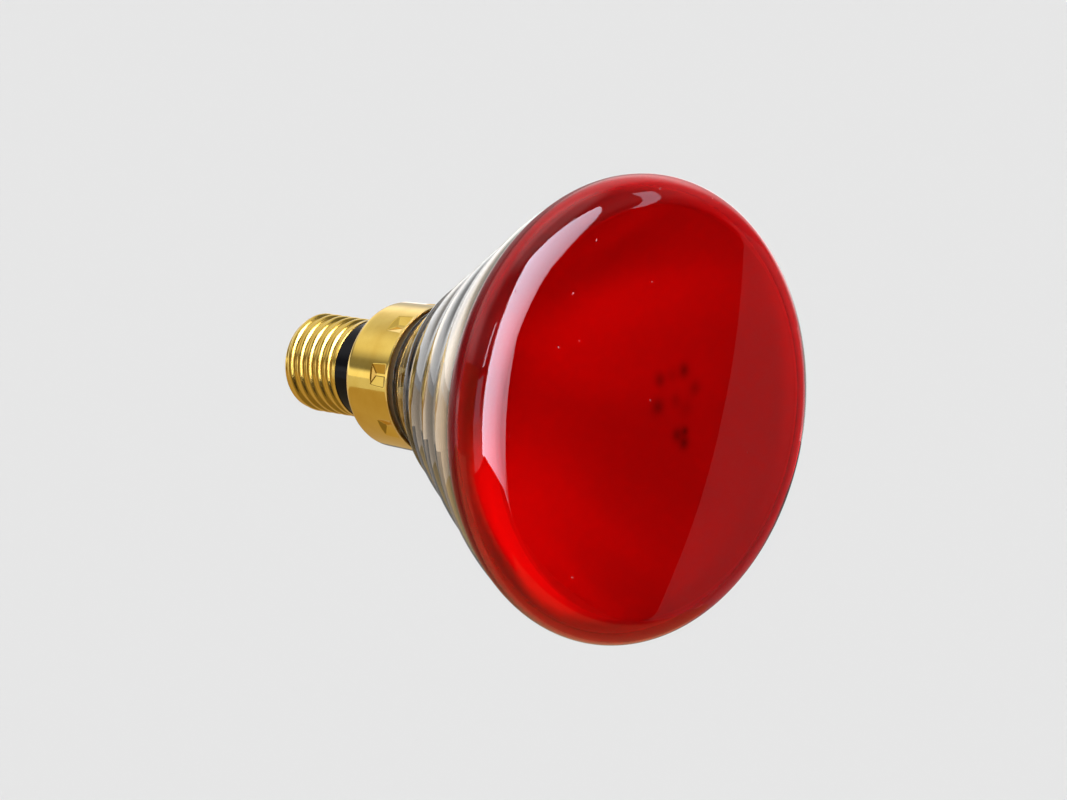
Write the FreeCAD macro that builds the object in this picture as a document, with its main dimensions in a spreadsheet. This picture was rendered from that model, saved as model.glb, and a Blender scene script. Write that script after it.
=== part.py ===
import FreeCAD, Part
import math
import os
import Sketcher
from FreeCAD import Placement, Rotation, Vector

# Infrared reflector lamp. Heights run along the lamp axis from the tip of the
# centre contact towards the lens; radii are measured from that axis. All in mm.
doc = FreeCAD.newDocument("heat_lamp")
sheet = doc.addObject("Spreadsheet::Sheet", "sizes")

SCREW_CAP = {
    "solder_height": "0.6",
    "solder_radius": "2.6",
    "contact_thickness": "0.8",
    "contact_radius": "5.2",
    "contact_hole_radius": "1.5",
    "contact_edge_round": "0.4",
    "nose_length": "3",
    "nose_ledge": "1.1",
    "plug_length": "4.1",
    "plug_clearance": "0.17",
    "cap_clearance": "0.03",
    "shell_length": "21.1",
    "shell_wall": "0.35",
    "shell_end_round": "2.2",
    "land_radius": "13.2",
    "land_length": "1.2",
    "crest_step": "0.08",
    "thread_pitch": "3.629",
    "thread_depth": "1",
    "thread_crest_offset": "3.85",
    "thread_runout": "1.6",
    "thread_overlap": "0.2",
    "thread_lead_in": "0.6",
}
SKIRT_AND_RING = {
    "ring_length": "10",
    "ring_step": "0.2",
    "ring_shoulder": "1.4",
    "ring_flange_thickness": "2.85",
    "ring_flange_clearance": "0.7",
    "ring_bore_clearance": "1",
    "skirt_length": "18",
    "skirt_back_radius": "19.3",
    "skirt_taper": "0.45",
    "skirt_lip_flare": "0.25",
    "skirt_lip_length": "0.8",
    "skirt_corner_round": "2.6",
    "skirt_wall": "0.45",
    "stake_count": "8",
    "stake_angle": "171.2",
    "stake_length": "6.2",
    "stake_width": "8",
    "stake_valley_length": "3",
    "stake_valley_width": "0.8",
    "stake_depth": "1.2",
    "stake_margin": "1",
    "stake_clearance": "0.1",
    "stake_overcut": "1.5",
}
LENS_AND_BOWL = {
    "rim_radius": "60.75",
    "rim_bulge": "1.83",
    "rim_rise": "5.2",
    "rim_round": "8.5",
    "face_crown": "3.7",
    "lens_wall": "3.2",
    "seal_width": "3.4",
    "cone_length": "63.1",
    "neck_gap": "2.5",
    "neck_ledge": "1.3",
    "neck_step": "0.7",
    "neck_clearance": "0.35",
    "bead_offset": "12.5",
    "bead_length": "5",
    "bead_round": "6",
    "band_round": "60",
    "mirror_offset": "6.5",
    "mirror_flare": "2.5",
    "mirror_round": "370",
    "mirror_film": "0.2",
    "floor_thickness": "4",
    "floor_ledge": "0.5",
    "heel_recess_depth": "6",
    "heel_recess_clearance": "0.7",
    "heel_draft": "1",
    "tip_radius": "2.5",
    "tip_length": "3.2",
}
FILAMENT_MOUNT = {
    "ferrule_offset": "9",
    "ferrule_radius": "2.4",
    "ferrule_flange_width": "0.9",
    "ferrule_flange_thickness": "0.8",
    "ferrule_stand": "0.8",
    "ferrule_socket_depth": "2.4",
    "post_radius": "0.6",
    "post_head_step": "0.4",
    "post_head_length": "3.4",
    "post_head_taper": "0.5",
    "filament_offset": "25.5",
    "coil_turns": "8",
    "coil_pitch": "1.6",
    "coil_radius": "1.1",
    "coil_wire_radius": "0.2",
    "lead_radius": "0.5",
    "lead_bend": "2",
    "lead_jog": "0.5",
    "lead_gap": "0.8",
    "lead_end_depth": "0.1",
    "lead_clearance": "0.05",
    "weld_gap": "0.2",
}
HEIGHTS = {
    "tip_height": "=0",
    "contact_face_height": "=solder_height",
    "contact_side_height": "=contact_face_height + contact_edge_round",
    "contact_seat_height": "=contact_face_height + contact_thickness",
    "solder_lead_height": "=contact_face_height + lead_end_depth",
    "shell_back_height": "=contact_seat_height + nose_length",
    "lip_inner_height": "=shell_back_height + shell_wall",
    "plug_seat_height": "=lip_inner_height + cap_clearance",
    "plug_end_height": "=shell_back_height + plug_length",
    "end_centre_height": "=shell_back_height + shell_end_round",
    "shell_front_height": "=shell_back_height + shell_length",
    "thread_crest_height": "=shell_front_height - thread_crest_offset",
    "land_back_height": "=shell_front_height - land_length",
    "land_middle_height": "=shell_front_height - land_length / 2",
    "thread_start_height": "=shell_back_height + thread_lead_in",
    "thread_end_height": "=land_back_height + thread_overlap",
    "weld_height": "=thread_end_height - lead_radius - weld_gap",
    "weld_turn_height": "=weld_height + lead_bend",
    "skirt_back_height": "=shell_front_height + ring_length",
    "skirt_inner_back_height": "=skirt_back_height + skirt_wall",
    "skirt_corner_height": "=skirt_back_height + skirt_corner_round",
    "skirt_front_height": "=skirt_back_height + skirt_length",
    "skirt_lip_height": "=skirt_front_height - skirt_lip_length",
    "stake_middle_height": "=skirt_front_height - stake_margin - stake_length / 2",
    "heel_height": "=skirt_inner_back_height + ring_flange_thickness",
    "floor_back_height": "=heel_height + heel_recess_depth",
    "floor_height": "=floor_back_height + floor_thickness",
    "tip_end_height": "=floor_back_height - tip_length",
    "tip_side_height": "=tip_end_height + tip_radius",
    "lead_run_height": "=tip_end_height - lead_radius - lead_gap",
    "lead_drop_height": "=lead_run_height + lead_bend",
    "lead_turn_height": "=lead_run_height - lead_bend",
    "ferrule_back_height": "=floor_back_height - ferrule_flange_thickness",
    "ferrule_front_height": "=floor_height + ferrule_stand",
    "lead_top_height": "=ferrule_back_height + ferrule_socket_depth",
    "post_foot_height": "=ferrule_front_height - ferrule_socket_depth",
    "cone_start_height": "=skirt_front_height + neck_gap",
    "neck_end_height": "=cone_start_height - neck_step",
    "mirror_start_height": "=cone_start_height + mirror_offset",
    "bead_back_height": "=cone_start_height + bead_offset",
    "bead_front_height": "=bead_back_height + bead_length",
    "filament_height": "=cone_start_height + filament_offset",
    "coil_tail_height": "=filament_height - coil_radius",
    "post_head_start": "=coil_tail_height - post_head_length / 2",
    "post_neck_height": "=post_head_start + post_head_taper",
    "post_end_height": "=coil_tail_height + post_head_length / 2",
    "seal_height": "=cone_start_height + cone_length",
    "band_rise": "=(seal_height - bead_front_height) / 3",
    "first_band_height": "=bead_front_height + band_rise",
    "second_band_height": "=first_band_height + band_rise",
    "rim_height": "=seal_height + rim_rise",
    "face_rise": "=rim_round + face_crown",
    "overall_length": "=rim_height + face_rise",
    "face_inner_height": "=overall_length - lens_wall",
}
RADII = {
    "lead_hole_radius": "=lead_radius + lead_clearance",
    "contact_flat_radius": "=contact_radius - contact_edge_round",
    "solder_round": "=(solder_radius ^ 2 + solder_height ^ 2) / (2 * solder_height)",
    "nose_radius": "=contact_radius + nose_ledge",
    "crest_radius": "=land_radius - crest_step",
    "land_inner_radius": "=land_radius - shell_wall",
    "lip_radius": "=crest_radius - shell_end_round",
    "plug_neck_radius": "=lip_radius - cap_clearance",
    "plug_radius": "=crest_radius - thread_depth - shell_wall - plug_clearance",
    "plug_round": "=shell_end_round - shell_wall - cap_clearance",
    "plug_start_height": "=end_centre_height - sqrt(plug_round ^ 2 - (plug_radius - lip_radius) ^ 2)",
    "weld_radius": "=crest_radius - shell_wall - 2 * cap_clearance",
    "ring_radius": "=land_radius - ring_step",
    "ring_neck_radius": "=ring_radius - ring_shoulder",
    "skirt_corner_radius": "=skirt_back_radius - skirt_corner_round",
    "skirt_front_radius": "=skirt_back_radius + skirt_taper",
    "skirt_lip_radius": "=skirt_front_radius + skirt_lip_flare",
    "skirt_waste_radius": "=skirt_lip_radius + stake_overcut",
    "skirt_inner_corner_round": "=skirt_corner_round - skirt_wall",
    "skirt_inner_back_radius": "=skirt_back_radius - skirt_wall",
    "skirt_inner_front_radius": "=skirt_front_radius - skirt_wall",
    "skirt_inner_lip_radius": "=skirt_lip_radius - skirt_wall",
    "ring_flange_radius": "=skirt_corner_radius - ring_flange_clearance",
    "stake_width_slope": "=(stake_width - stake_valley_width) / (2 * stake_depth)",
    "stake_length_slope": "=(stake_length - stake_valley_length) / (2 * stake_depth)",
    "stake_valley_radius": "=skirt_front_radius - stake_depth",
    "stake_boss_radius": "=stake_valley_radius - skirt_wall",
    "stake_recess_radius": "=stake_boss_radius - stake_clearance",
    "stake_dent_grow": "=0",
    "stake_boss_grow": "=skirt_wall / 3",
    "stake_recess_grow": "=stake_boss_grow + stake_clearance",
    "neck_radius": "=skirt_inner_back_radius - neck_clearance",
    "cone_start_radius": "=neck_radius + neck_ledge",
    "seal_radius": "=rim_radius - rim_bulge",
    "cone_slope": "=(seal_radius - cone_start_radius) / cone_length",
    "seal_inner_radius": "=seal_radius - seal_width",
    "rim_back_round": "=(rim_rise ^ 2 + rim_bulge ^ 2) / (2 * rim_bulge)",
    "rim_inner_radius": "=rim_radius - lens_wall",
    "rim_inner_step": "=rim_inner_radius - seal_inner_radius",
    "rim_back_inner_round": "=(rim_rise ^ 2 + rim_inner_step ^ 2) / (2 * rim_inner_step)",
    "rim_inner_round": "=rim_round - lens_wall",
    "rim_centre_radius": "=rim_radius - rim_round",
    "face_round": "=(rim_centre_radius ^ 2 + face_rise ^ 2 - rim_round ^ 2) / (2 * face_crown)",
    "face_inner_round": "=face_round - lens_wall",
    "shoulder_scale": "=1 / (face_round - rim_round)",
    "shoulder_radius": "=rim_centre_radius * face_round * shoulder_scale",
    "shoulder_inner_radius": "=rim_centre_radius * face_inner_round * shoulder_scale",
    "shoulder_height": "=rim_height + rim_round * (face_round - face_rise) * shoulder_scale",
    "shoulder_inner_height": "=rim_height + rim_inner_round * (face_round - face_rise) * shoulder_scale",
    "bead_back_radius": "=cone_start_radius + cone_slope * bead_offset",
    "bead_front_radius": "=bead_back_radius + cone_slope * bead_length",
    "first_band_radius": "=bead_front_radius + cone_slope * band_rise",
    "second_band_radius": "=first_band_radius + cone_slope * band_rise",
    "ferrule_flange_radius": "=ferrule_radius + ferrule_flange_width",
    "heel_recess_floor_radius": "=ferrule_offset + ferrule_flange_radius + heel_recess_clearance",
    "heel_recess_radius": "=heel_recess_floor_radius + heel_draft",
    "floor_radius": "=heel_recess_floor_radius + floor_ledge",
    "mirror_start_radius": "=floor_radius + mirror_flare",
    "film_floor_radius": "=floor_radius - mirror_film",
    "film_start_radius": "=mirror_start_radius - mirror_film",
    "film_end_radius": "=seal_inner_radius - mirror_film",
    "post_head_radius": "=post_radius + post_head_step",
    "coil_length": "=coil_turns * coil_pitch",
    "coil_start": "=-coil_length / 2",
    "tail_length": "=ferrule_offset + post_head_radius - coil_length / 2",
    "lead_turn_offset": "=ferrule_offset - lead_bend",
    "shell_lead_turn": "=lead_turn_offset - lead_jog",
    "shell_lead_offset": "=shell_lead_turn - lead_bend",
    "ring_bore_radius": "=shell_lead_offset + lead_radius + ring_bore_clearance",
}
TABLES = (SCREW_CAP, SKIRT_AND_RING, LENS_AND_BOWL, FILAMENT_MOUNT, HEIGHTS, RADII)


def fill_sheet():
    """Writes every size into the sheet as a named cell, the names first."""
    cells = [pair for table in TABLES for pair in table.items()]
    for row, (name, text) in enumerate(cells, start=1):
        sheet.set("A%d" % row, name)
        sheet.setAlias("B%d" % row, name)
    for row, (name, text) in enumerate(cells, start=1):
        sheet.set("B%d" % row, text)
    doc.recompute()


def size(name):
    """Value of a named size; a leading minus mirrors it."""
    if name == "axis":
        return 0.0
    if name.startswith("-"):
        return -size(name[1:])
    return float(sheet.get(name))


def cell(name):
    """The same size as the expression that binds a feature to the sheet."""
    if name.startswith("-"):
        return "-sizes." + name[1:]
    return "sizes." + name


def new_body(label, across=None, turn=None):
    """A body set in the row's frame: lamp axis along -Y, origin at the screw land."""
    body = doc.addObject("PartDesign::Body", label)
    body.Label = label
    body.Placement = Placement(Vector(), turn or Rotation(Vector(1, 0, 0), 90))
    body.setExpression("Placement.Base.y", cell("land_middle_height"))
    if across:
        body.setExpression("Placement.Base.x", cell(across))
    return body


def new_sketch(body, name, role="XZ_Plane"):
    """A sketch on one of the body's own origin planes."""
    sketch = body.newObject("Sketcher::SketchObject", name)
    plane = next(item for item in body.Origin.OriginFeatures if item.Role == role)
    sketch.AttachmentSupport = (plane, [""])
    sketch.MapMode = "FlatFace"
    return sketch


def bind(sketch, kind, geometry, point, name):
    """Ties one coordinate of a sketch point to a named size."""
    if name == "axis":
        sketch.addConstraint(Sketcher.Constraint("PointOnObject", geometry, point, -2))
        return
    index = sketch.addConstraint(Sketcher.Constraint(kind, -1, 1, geometry, point, size(name)))
    sketch.setExpression("Constraints[%d]" % index, cell(name))


def arc(start, end, radius, turn):
    """Shorter arc of a radius; turn is 1 when it bends left on the way, -1 when right."""
    half = (end - start) * 0.5
    rise = math.sqrt(max(radius ** 2 - half.Length ** 2, 0.0)) / half.Length
    centre = start + half + Vector(-half.y, half.x, 0) * (rise * turn)
    first, last = (start, end) if turn > 0 else (end, start)
    circle = Part.Circle(centre, Vector(0, 0, 1), radius)
    angles = [math.atan2(p.y - centre.y, p.x - centre.x) for p in (first, last)]
    if angles[1] < angles[0]:
        angles[1] += 2 * math.pi
    return Part.ArcOfCircle(circle, angles[0], angles[1])


def outline(sketch, path, closed=True):
    """Draws lines and arcs through named corners, each corner bound to the sheet.

    A corner is (across, along) after a line, or (across, along, radius, turn) after an arc.
    """
    corners = path + path[:1] if closed else path
    ends = []
    for start, stop in zip(corners, corners[1:]):
        here = Vector(size(start[0]), size(start[1]), 0)
        there = Vector(size(stop[0]), size(stop[1]), 0)
        if len(stop) == 2:
            index = sketch.addGeometry(Part.LineSegment(here, there), False)
            ends.append((index, 1, 2))
            continue
        index = sketch.addGeometry(arc(here, there, size(stop[2]), stop[3]), False)
        ends.append((index, 1, 2) if stop[3] > 0 else (index, 2, 1))
        radius = sketch.addConstraint(Sketcher.Constraint("Radius", index, size(stop[2])))
        sketch.setExpression("Constraints[%d]" % radius, cell(stop[2]))
    for this, following in zip(ends, ends[1:] + ends[:1] if closed else ends[1:]):
        sketch.addConstraint(Sketcher.Constraint("Coincident", this[0], this[2], following[0], following[1]))
    for corner, (index, first, last) in zip(path, ends):
        bind(sketch, "DistanceX", index, first, corner[0])
        bind(sketch, "DistanceY", index, first, corner[1])
    if not closed:
        bind(sketch, "DistanceX", ends[-1][0], ends[-1][2], path[-1][0])
        bind(sketch, "DistanceY", ends[-1][0], ends[-1][2], path[-1][1])


def circle(sketch, across, along, radius):
    """A circle whose centre and radius are bound to the sheet."""
    middle = Vector(size(across), size(along), 0)
    index = sketch.addGeometry(Part.Circle(middle, Vector(0, 0, 1), size(radius)), False)
    bind(sketch, "DistanceX", index, 3, across)
    if along == "axis":
        sketch.addConstraint(Sketcher.Constraint("PointOnObject", index, 3, -1))
    else:
        bind(sketch, "DistanceY", index, 3, along)
    rule = sketch.addConstraint(Sketcher.Constraint("Radius", index, size(radius)))
    sketch.setExpression("Constraints[%d]" % rule, cell(radius))


def turned(body, path):
    """Turns a closed outline of radius and height around the lamp axis."""
    sketch = new_sketch(body, body.Name + "_outline")
    outline(sketch, path)
    solid = body.newObject("PartDesign::Revolution", body.Name + "_turned")
    solid.Profile = sketch
    solid.ReferenceAxis = (sketch, ["V_Axis"])
    solid.Angle = 360
    sketch.Visibility = False
    doc.recompute()
    return solid


def hip_wedges(body, kind, name, valley, top, grow):
    """A ring of hip-roofed punch shapes that point at the axis.

    Each has its flat valley at one radius, spreads outward to the radius top,
    and is wider all round than the punch by the size named in grow.
    """
    wedge = body.newObject(kind, name)
    rise = "(sizes.%s - sizes.%s)" % (top, valley)
    middle = "sizes.stake_middle_height"
    width = "(sizes.stake_valley_width / 2 + sizes.%s)" % grow
    length = "(sizes.stake_valley_length / 2 + sizes.%s)" % grow
    wide = "(%s + sizes.stake_width_slope * %s)" % (width, rise)
    long = "(%s + sizes.stake_length_slope * %s)" % (length, rise)
    wedge.setExpression("Ymin", cell(valley))
    wedge.setExpression("Ymax", cell(top))
    wedge.setExpression("Xmin", "-" + width)
    wedge.setExpression("Xmax", width)
    wedge.setExpression("X2min", "-" + wide)
    wedge.setExpression("X2max", wide)
    wedge.setExpression("Zmin", middle + " - " + length)
    wedge.setExpression("Zmax", middle + " + " + length)
    wedge.setExpression("Z2min", middle + " - " + long)
    wedge.setExpression("Z2max", middle + " + " + long)
    wedge.Placement = Placement(Vector(), Rotation(Vector(0, 0, 1), size("stake_angle") - 90))
    doc.recompute()
    ring = body.newObject("PartDesign::PolarPattern", name + "_ring")
    ring.Originals = [wedge]
    ring.Refine = False
    wedge.Refine = False
    ring.Axis = (next(item for item in body.Origin.OriginFeatures if item.Role == "Z_Axis"), [""])
    ring.Angle = 360
    ring.setExpression("Occurrences", "sizes.stake_count")
    body.Tip = ring
    doc.recompute()
    return ring


def make_lens():
    """Red pressed-glass cover: shallow dish with a rounded rim and a slightly domed face."""
    body = new_body("lens")
    turned(body, [
        ("seal_inner_radius", "seal_height", "rim_back_inner_round", -1),
        ("seal_radius", "seal_height"),
        ("rim_radius", "rim_height", "rim_back_round", 1),
        ("shoulder_radius", "shoulder_height", "rim_round", 1),
        ("axis", "overall_length", "face_round", 1),
        ("axis", "face_inner_height"),
        ("shoulder_inner_radius", "shoulder_inner_height", "face_inner_round", -1),
        ("rim_inner_radius", "rim_height", "rim_inner_round", -1),
    ])
    return body


def make_bowl():
    """Clear pressed-glass reflector: banded cone, bead ring, neck, floor and sealed-off tip."""
    body = new_body("reflector_bowl")
    turned(body, [
        ("heel_recess_radius", "heel_height"),
        ("neck_radius", "heel_height"),
        ("neck_radius", "neck_end_height"),
        ("cone_start_radius", "cone_start_height"),
        ("bead_back_radius", "bead_back_height"),
        ("bead_front_radius", "bead_front_height", "bead_round", 1),
        ("first_band_radius", "first_band_height", "band_round", 1),
        ("second_band_radius", "second_band_height", "band_round", 1),
        ("seal_radius", "seal_height", "band_round", 1),
        ("seal_inner_radius", "seal_height"),
        ("mirror_start_radius", "mirror_start_height", "mirror_round", -1),
        ("floor_radius", "floor_height"),
        ("axis", "floor_height"),
        ("axis", "tip_end_height"),
        ("tip_radius", "tip_side_height", "tip_radius", 1),
        ("tip_radius", "floor_back_height"),
        ("heel_recess_floor_radius", "floor_back_height"),
    ])
    # two seats for the ferrules
    seats = new_sketch(body, "ferrule_seats", "XY_Plane")
    circle(seats, "ferrule_offset", "axis", "ferrule_radius")
    circle(seats, "-ferrule_offset", "axis", "ferrule_radius")
    holes = body.newObject("PartDesign::Pocket", "ferrule_holes")
    holes.Profile = seats
    holes.Type = "ThroughAll"
    holes.Reversed = True
    doc.recompute()
    # recesses in the neck that the stakes of the skirt are pressed into
    hip_wedges(body, "PartDesign::SubtractiveWedge", "stake_recess",
               "stake_recess_radius", "skirt_lip_radius", "stake_recess_grow")
    return body


def make_mirror():
    """Aluminium film on the inside of the bowl, from the edge of its floor to the seal."""
    body = new_body("mirror_coating")
    turned(body, [
        ("film_start_radius", "mirror_start_height", "mirror_round", -1),
        ("film_floor_radius", "floor_height"),
        ("floor_radius", "floor_height"),
        ("mirror_start_radius", "mirror_start_height"),
        ("seal_inner_radius", "seal_height", "mirror_round", 1),
        ("film_end_radius", "seal_height"),
    ])
    return body


def make_ferrule(label, across):
    """Metal thimble sealed in the glass floor, with a socket for the post and one for the lead."""
    body = new_body(label, across)
    turned(body, [
        ("axis", "lead_top_height"),
        ("lead_radius", "lead_top_height"),
        ("lead_radius", "ferrule_back_height"),
        ("ferrule_flange_radius", "ferrule_back_height"),
        ("ferrule_flange_radius", "floor_back_height"),
        ("ferrule_radius", "floor_back_height"),
        ("ferrule_radius", "ferrule_front_height"),
        ("post_radius", "ferrule_front_height"),
        ("post_radius", "post_foot_height"),
        ("axis", "post_foot_height"),
    ])
    return body


def make_post(label, across):
    """Stiff support wire with a crimped head that grips a filament tail."""
    body = new_body(label, across)
    turned(body, [
        ("axis", "post_foot_height"),
        ("post_radius", "post_foot_height"),
        ("post_radius", "post_head_start"),
        ("post_head_radius", "post_neck_height"),
        ("post_head_radius", "post_end_height"),
        ("axis", "post_end_height"),
    ])
    mark = new_sketch(body, label + "_eye", "YZ_Plane")
    circle(mark, "axis", "coil_tail_height", "coil_wire_radius")
    eye = body.newObject("PartDesign::Pocket", label + "_eyelet")
    eye.Profile = mark
    eye.Type = "ThroughAll"
    eye.Midplane = True
    doc.recompute()
    return body


def make_filament():
    """Tungsten coil across the axis, with a straight tail into each post."""
    body = new_body("filament", "coil_start", Rotation(Vector(1, 1, 1), 120))
    body.setExpression("Placement.Base.y", "sizes.land_middle_height - sizes.filament_height")
    section = new_sketch(body, "coil_section")
    circle(section, "coil_radius", "axis", "coil_wire_radius")
    coil = body.newObject("PartDesign::AdditiveHelix", "coil")
    coil.Profile = section
    coil.ReferenceAxis = (section, ["V_Axis"])
    coil.Mode = 0
    coil.setExpression("Pitch", "sizes.coil_pitch")
    coil.setExpression("Height", "sizes.coil_length")
    doc.recompute()
    for name, start in (("first_tail", "0 mm"), ("second_tail", "sizes.coil_length")):
        end = new_sketch(body, name + "_section", "XY_Plane")
        end.setExpression("AttachmentOffset.Base.z", start)
        circle(end, "coil_radius", "axis", "coil_wire_radius")
        tail = body.newObject("PartDesign::Pad", name)
        tail.Profile = end
        tail.setExpression("Length", "sizes.tail_length")
        tail.Reversed = name == "first_tail"
        doc.recompute()
    return body


def make_lead(label, start, path):
    """Round connecting wire bent along a path, from the ferrule down into the cap."""
    body = new_body(label)
    line = new_sketch(body, label + "_path")
    outline(line, path, closed=False)
    end = new_sketch(body, label + "_section", "XY_Plane")
    end.setExpression("AttachmentOffset.Base.z", "sizes.lead_top_height")
    circle(end, start, "axis", "lead_radius")
    wire = body.newObject("PartDesign::AdditivePipe", label + "_wire")
    wire.Profile = end
    wire.Spine = (line, ["Edge%d" % (n + 1) for n in range(len(path) - 1)])
    doc.recompute()
    return body


def make_contact_lead():
    """Wire from one ferrule along the axis to the centre contact."""
    return make_lead("contact_lead", "-ferrule_offset", [
        ("-ferrule_offset", "lead_top_height"),
        ("-ferrule_offset", "lead_drop_height"),
        ("-lead_turn_offset", "lead_run_height", "lead_bend", 1),
        ("-lead_bend", "lead_run_height"),
        ("axis", "lead_turn_height", "lead_bend", -1),
        ("axis", "solder_lead_height"),
    ])


def make_shell_lead():
    """Wire from the other ferrule to the weld inside the screw shell."""
    return make_lead("shell_lead", "ferrule_offset", [
        ("ferrule_offset", "lead_top_height"),
        ("ferrule_offset", "lead_drop_height"),
        ("lead_turn_offset", "lead_run_height", "lead_bend", -1),
        ("shell_lead_turn", "lead_run_height"),
        ("shell_lead_offset", "lead_turn_height", "lead_bend", 1),
        ("shell_lead_offset", "weld_turn_height"),
        ("shell_lead_turn", "weld_height", "lead_bend", 1),
        ("weld_radius", "weld_height"),
    ])


def make_skirt():
    """Drawn brass cup around the neck, staked to the glass by eight hip-roofed dents."""
    body = new_body("skirt")
    turned(body, [
        ("ring_neck_radius", "skirt_back_height"),
        ("skirt_corner_radius", "skirt_back_height"),
        ("skirt_back_radius", "skirt_corner_height", "skirt_corner_round", 1),
        ("skirt_front_radius", "skirt_lip_height"),
        ("skirt_lip_radius", "skirt_front_height"),
        ("skirt_inner_lip_radius", "skirt_front_height"),
        ("skirt_inner_front_radius", "skirt_lip_height"),
        ("skirt_inner_back_radius", "skirt_corner_height"),
        ("skirt_corner_radius", "skirt_inner_back_height", "skirt_inner_corner_round", -1),
        ("ring_neck_radius", "skirt_inner_back_height"),
    ])
    # metal pushed inward behind each dent, trimmed flush with the outside of the cup
    hip_wedges(body, "PartDesign::AdditiveWedge", "stake_boss",
               "stake_boss_radius", "skirt_lip_radius", "stake_boss_grow")
    waste = new_sketch(body, "stake_waste")
    outline(waste, [
        ("skirt_back_radius", "skirt_corner_height"),
        ("skirt_waste_radius", "skirt_corner_height"),
        ("skirt_waste_radius", "neck_end_height"),
        ("heel_recess_radius", "neck_end_height"),
        ("heel_recess_radius", "skirt_front_height"),
        ("skirt_lip_radius", "skirt_front_height"),
        ("skirt_front_radius", "skirt_lip_height"),
    ])
    trim = body.newObject("PartDesign::Groove", "stake_trim")
    trim.Profile = waste
    trim.ReferenceAxis = (waste, ["V_Axis"])
    trim.Angle = 360
    doc.recompute()
    hip_wedges(body, "PartDesign::SubtractiveWedge", "stake_dent",
               "stake_valley_radius", "skirt_waste_radius", "stake_dent_grow")
    return body


def make_ring():
    """Black insulator moulded between the screw shell and the skirt."""
    body = new_body("insulating_ring")
    turned(body, [
        ("ring_bore_radius", "thread_end_height"),
        ("land_inner_radius", "thread_end_height"),
        ("land_inner_radius", "shell_front_height"),
        ("ring_radius", "shell_front_height"),
        ("ring_radius", "skirt_back_height"),
        ("ring_neck_radius", "skirt_back_height"),
        ("ring_neck_radius", "skirt_inner_back_height"),
        ("ring_flange_radius", "skirt_inner_back_height"),
        ("ring_flange_radius", "heel_height"),
        ("ring_bore_radius", "heel_height"),
    ])
    return body


def smooth(value):
    """Eases from 0 to 1 with no corner at either end."""
    value = min(max(value, 0.0), 1.0)
    return value * value * (3 - 2 * value)


def thread_dip(along, wall):
    """How far a rolled round thread lies below its crests, a given way along one pitch.

    Crest and root are arcs of one radius that meet on the flank; wall moves the curve
    to the inner face of the sheet, square to the surface.
    """
    pitch, depth = size("thread_pitch"), size("thread_depth")
    round_radius = (pitch ** 2 / 4 + depth ** 2) / (4 * depth)
    from_crest = abs((along / pitch + 0.5) % 1.0 - 0.5) * pitch
    if from_crest <= pitch / 4 * (round_radius - wall) / round_radius:
        return round_radius - math.sqrt((round_radius - wall) ** 2 - from_crest ** 2)
    from_root = pitch / 2 - from_crest
    return depth - round_radius + math.sqrt((round_radius + wall) ** 2 - from_root ** 2)


def thread_face(wall, start_height, top_height):
    """Skin of the screw shell at a depth below its outer face: rolled end, thread, run-out."""
    pitch, crest = size("thread_pitch"), size("crest_radius")
    end_round, centre = size("shell_end_round") - wall, size("end_centre_height")
    rows_around, rows_per_pitch, end_rows = 40, 16, 7
    rows = []
    for step in range(end_rows):
        turn = math.pi / 2 * (1 - step / end_rows)
        reach = crest - wall - end_round * (1 - math.cos(turn))
        rows.append((centre - end_round * math.sin(turn), reach))
    count = round(rows_per_pitch * (top_height - centre) / pitch)
    for step in range(count + 1):
        rows.append((centre + (top_height - centre) * step / count, crest - wall))
    net = []
    for height, radius in rows:
        fade = smooth((height - start_height) / size("thread_runout"))
        fade *= smooth((top_height - height) / size("thread_runout"))
        ring = []
        for step in range(rows_around + 1):
            share = step % rows_around / rows_around
            angle = 2 * math.pi * share
            along = height - size("thread_crest_height") - pitch * (share - 0.5)
            reach = radius - fade * (thread_dip(along, wall) - wall)
            ring.append(Vector(reach * math.cos(angle), reach * math.sin(angle), height))
        net.append(ring)
    skin = Part.BSplineSurface()
    skin.interpolate(net)
    return skin.toShape()


def end_edge(face, height):
    """The face's closed edge at a height."""
    def miss(edge):
        box = edge.BoundBox
        return max(abs(box.ZMin - height), abs(box.ZMax - height))
    return min(face.Edges, key=miss)


def make_shell():
    """Sheet-brass screw shell: rolled round thread with a plain land at its mouth."""
    start, top = size("thread_start_height"), size("thread_end_height")
    outer = thread_face(0.0, start, top)
    inner = thread_face(size("shell_wall"), start, top)
    mouth = Part.makeRuledSurface(end_edge(outer, top), end_edge(inner, top))
    lip = Part.makeRuledSurface(end_edge(outer, size("shell_back_height")),
                                end_edge(inner, size("lip_inner_height")))
    skin = Part.Shell([outer, inner, mouth, lip])
    skin.sewShape()
    thread = Part.Solid(skin)
    if thread.Volume < 0:
        thread.reverse()
    foot = Vector(0, 0, size("land_back_height"))
    land = Part.makeCylinder(size("land_radius"), size("land_length"), foot)
    bore = Part.makeCylinder(size("land_inner_radius"), size("land_length"), foot)
    shell = doc.addObject("Part::Feature", "screw_shell")
    shell.Label = "screw_shell"
    shell.Shape = thread.fuse(land.cut(bore))
    shell.Placement = Placement(Vector(0, size("land_middle_height"), 0), Rotation(Vector(1, 0, 0), 90))
    return shell


def make_base_insulator():
    """Black glass plug in the end of the shell, with a cone down to the contact."""
    body = new_body("base_insulator")
    turned(body, [
        ("lead_hole_radius", "contact_seat_height"),
        ("nose_radius", "contact_seat_height"),
        ("plug_neck_radius", "shell_back_height"),
        ("plug_neck_radius", "plug_seat_height"),
        ("lip_radius", "plug_seat_height"),
        ("plug_radius", "plug_start_height", "plug_round", 1),
        ("plug_radius", "plug_end_height"),
        ("lead_hole_radius", "plug_end_height"),
    ])
    return body


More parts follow.
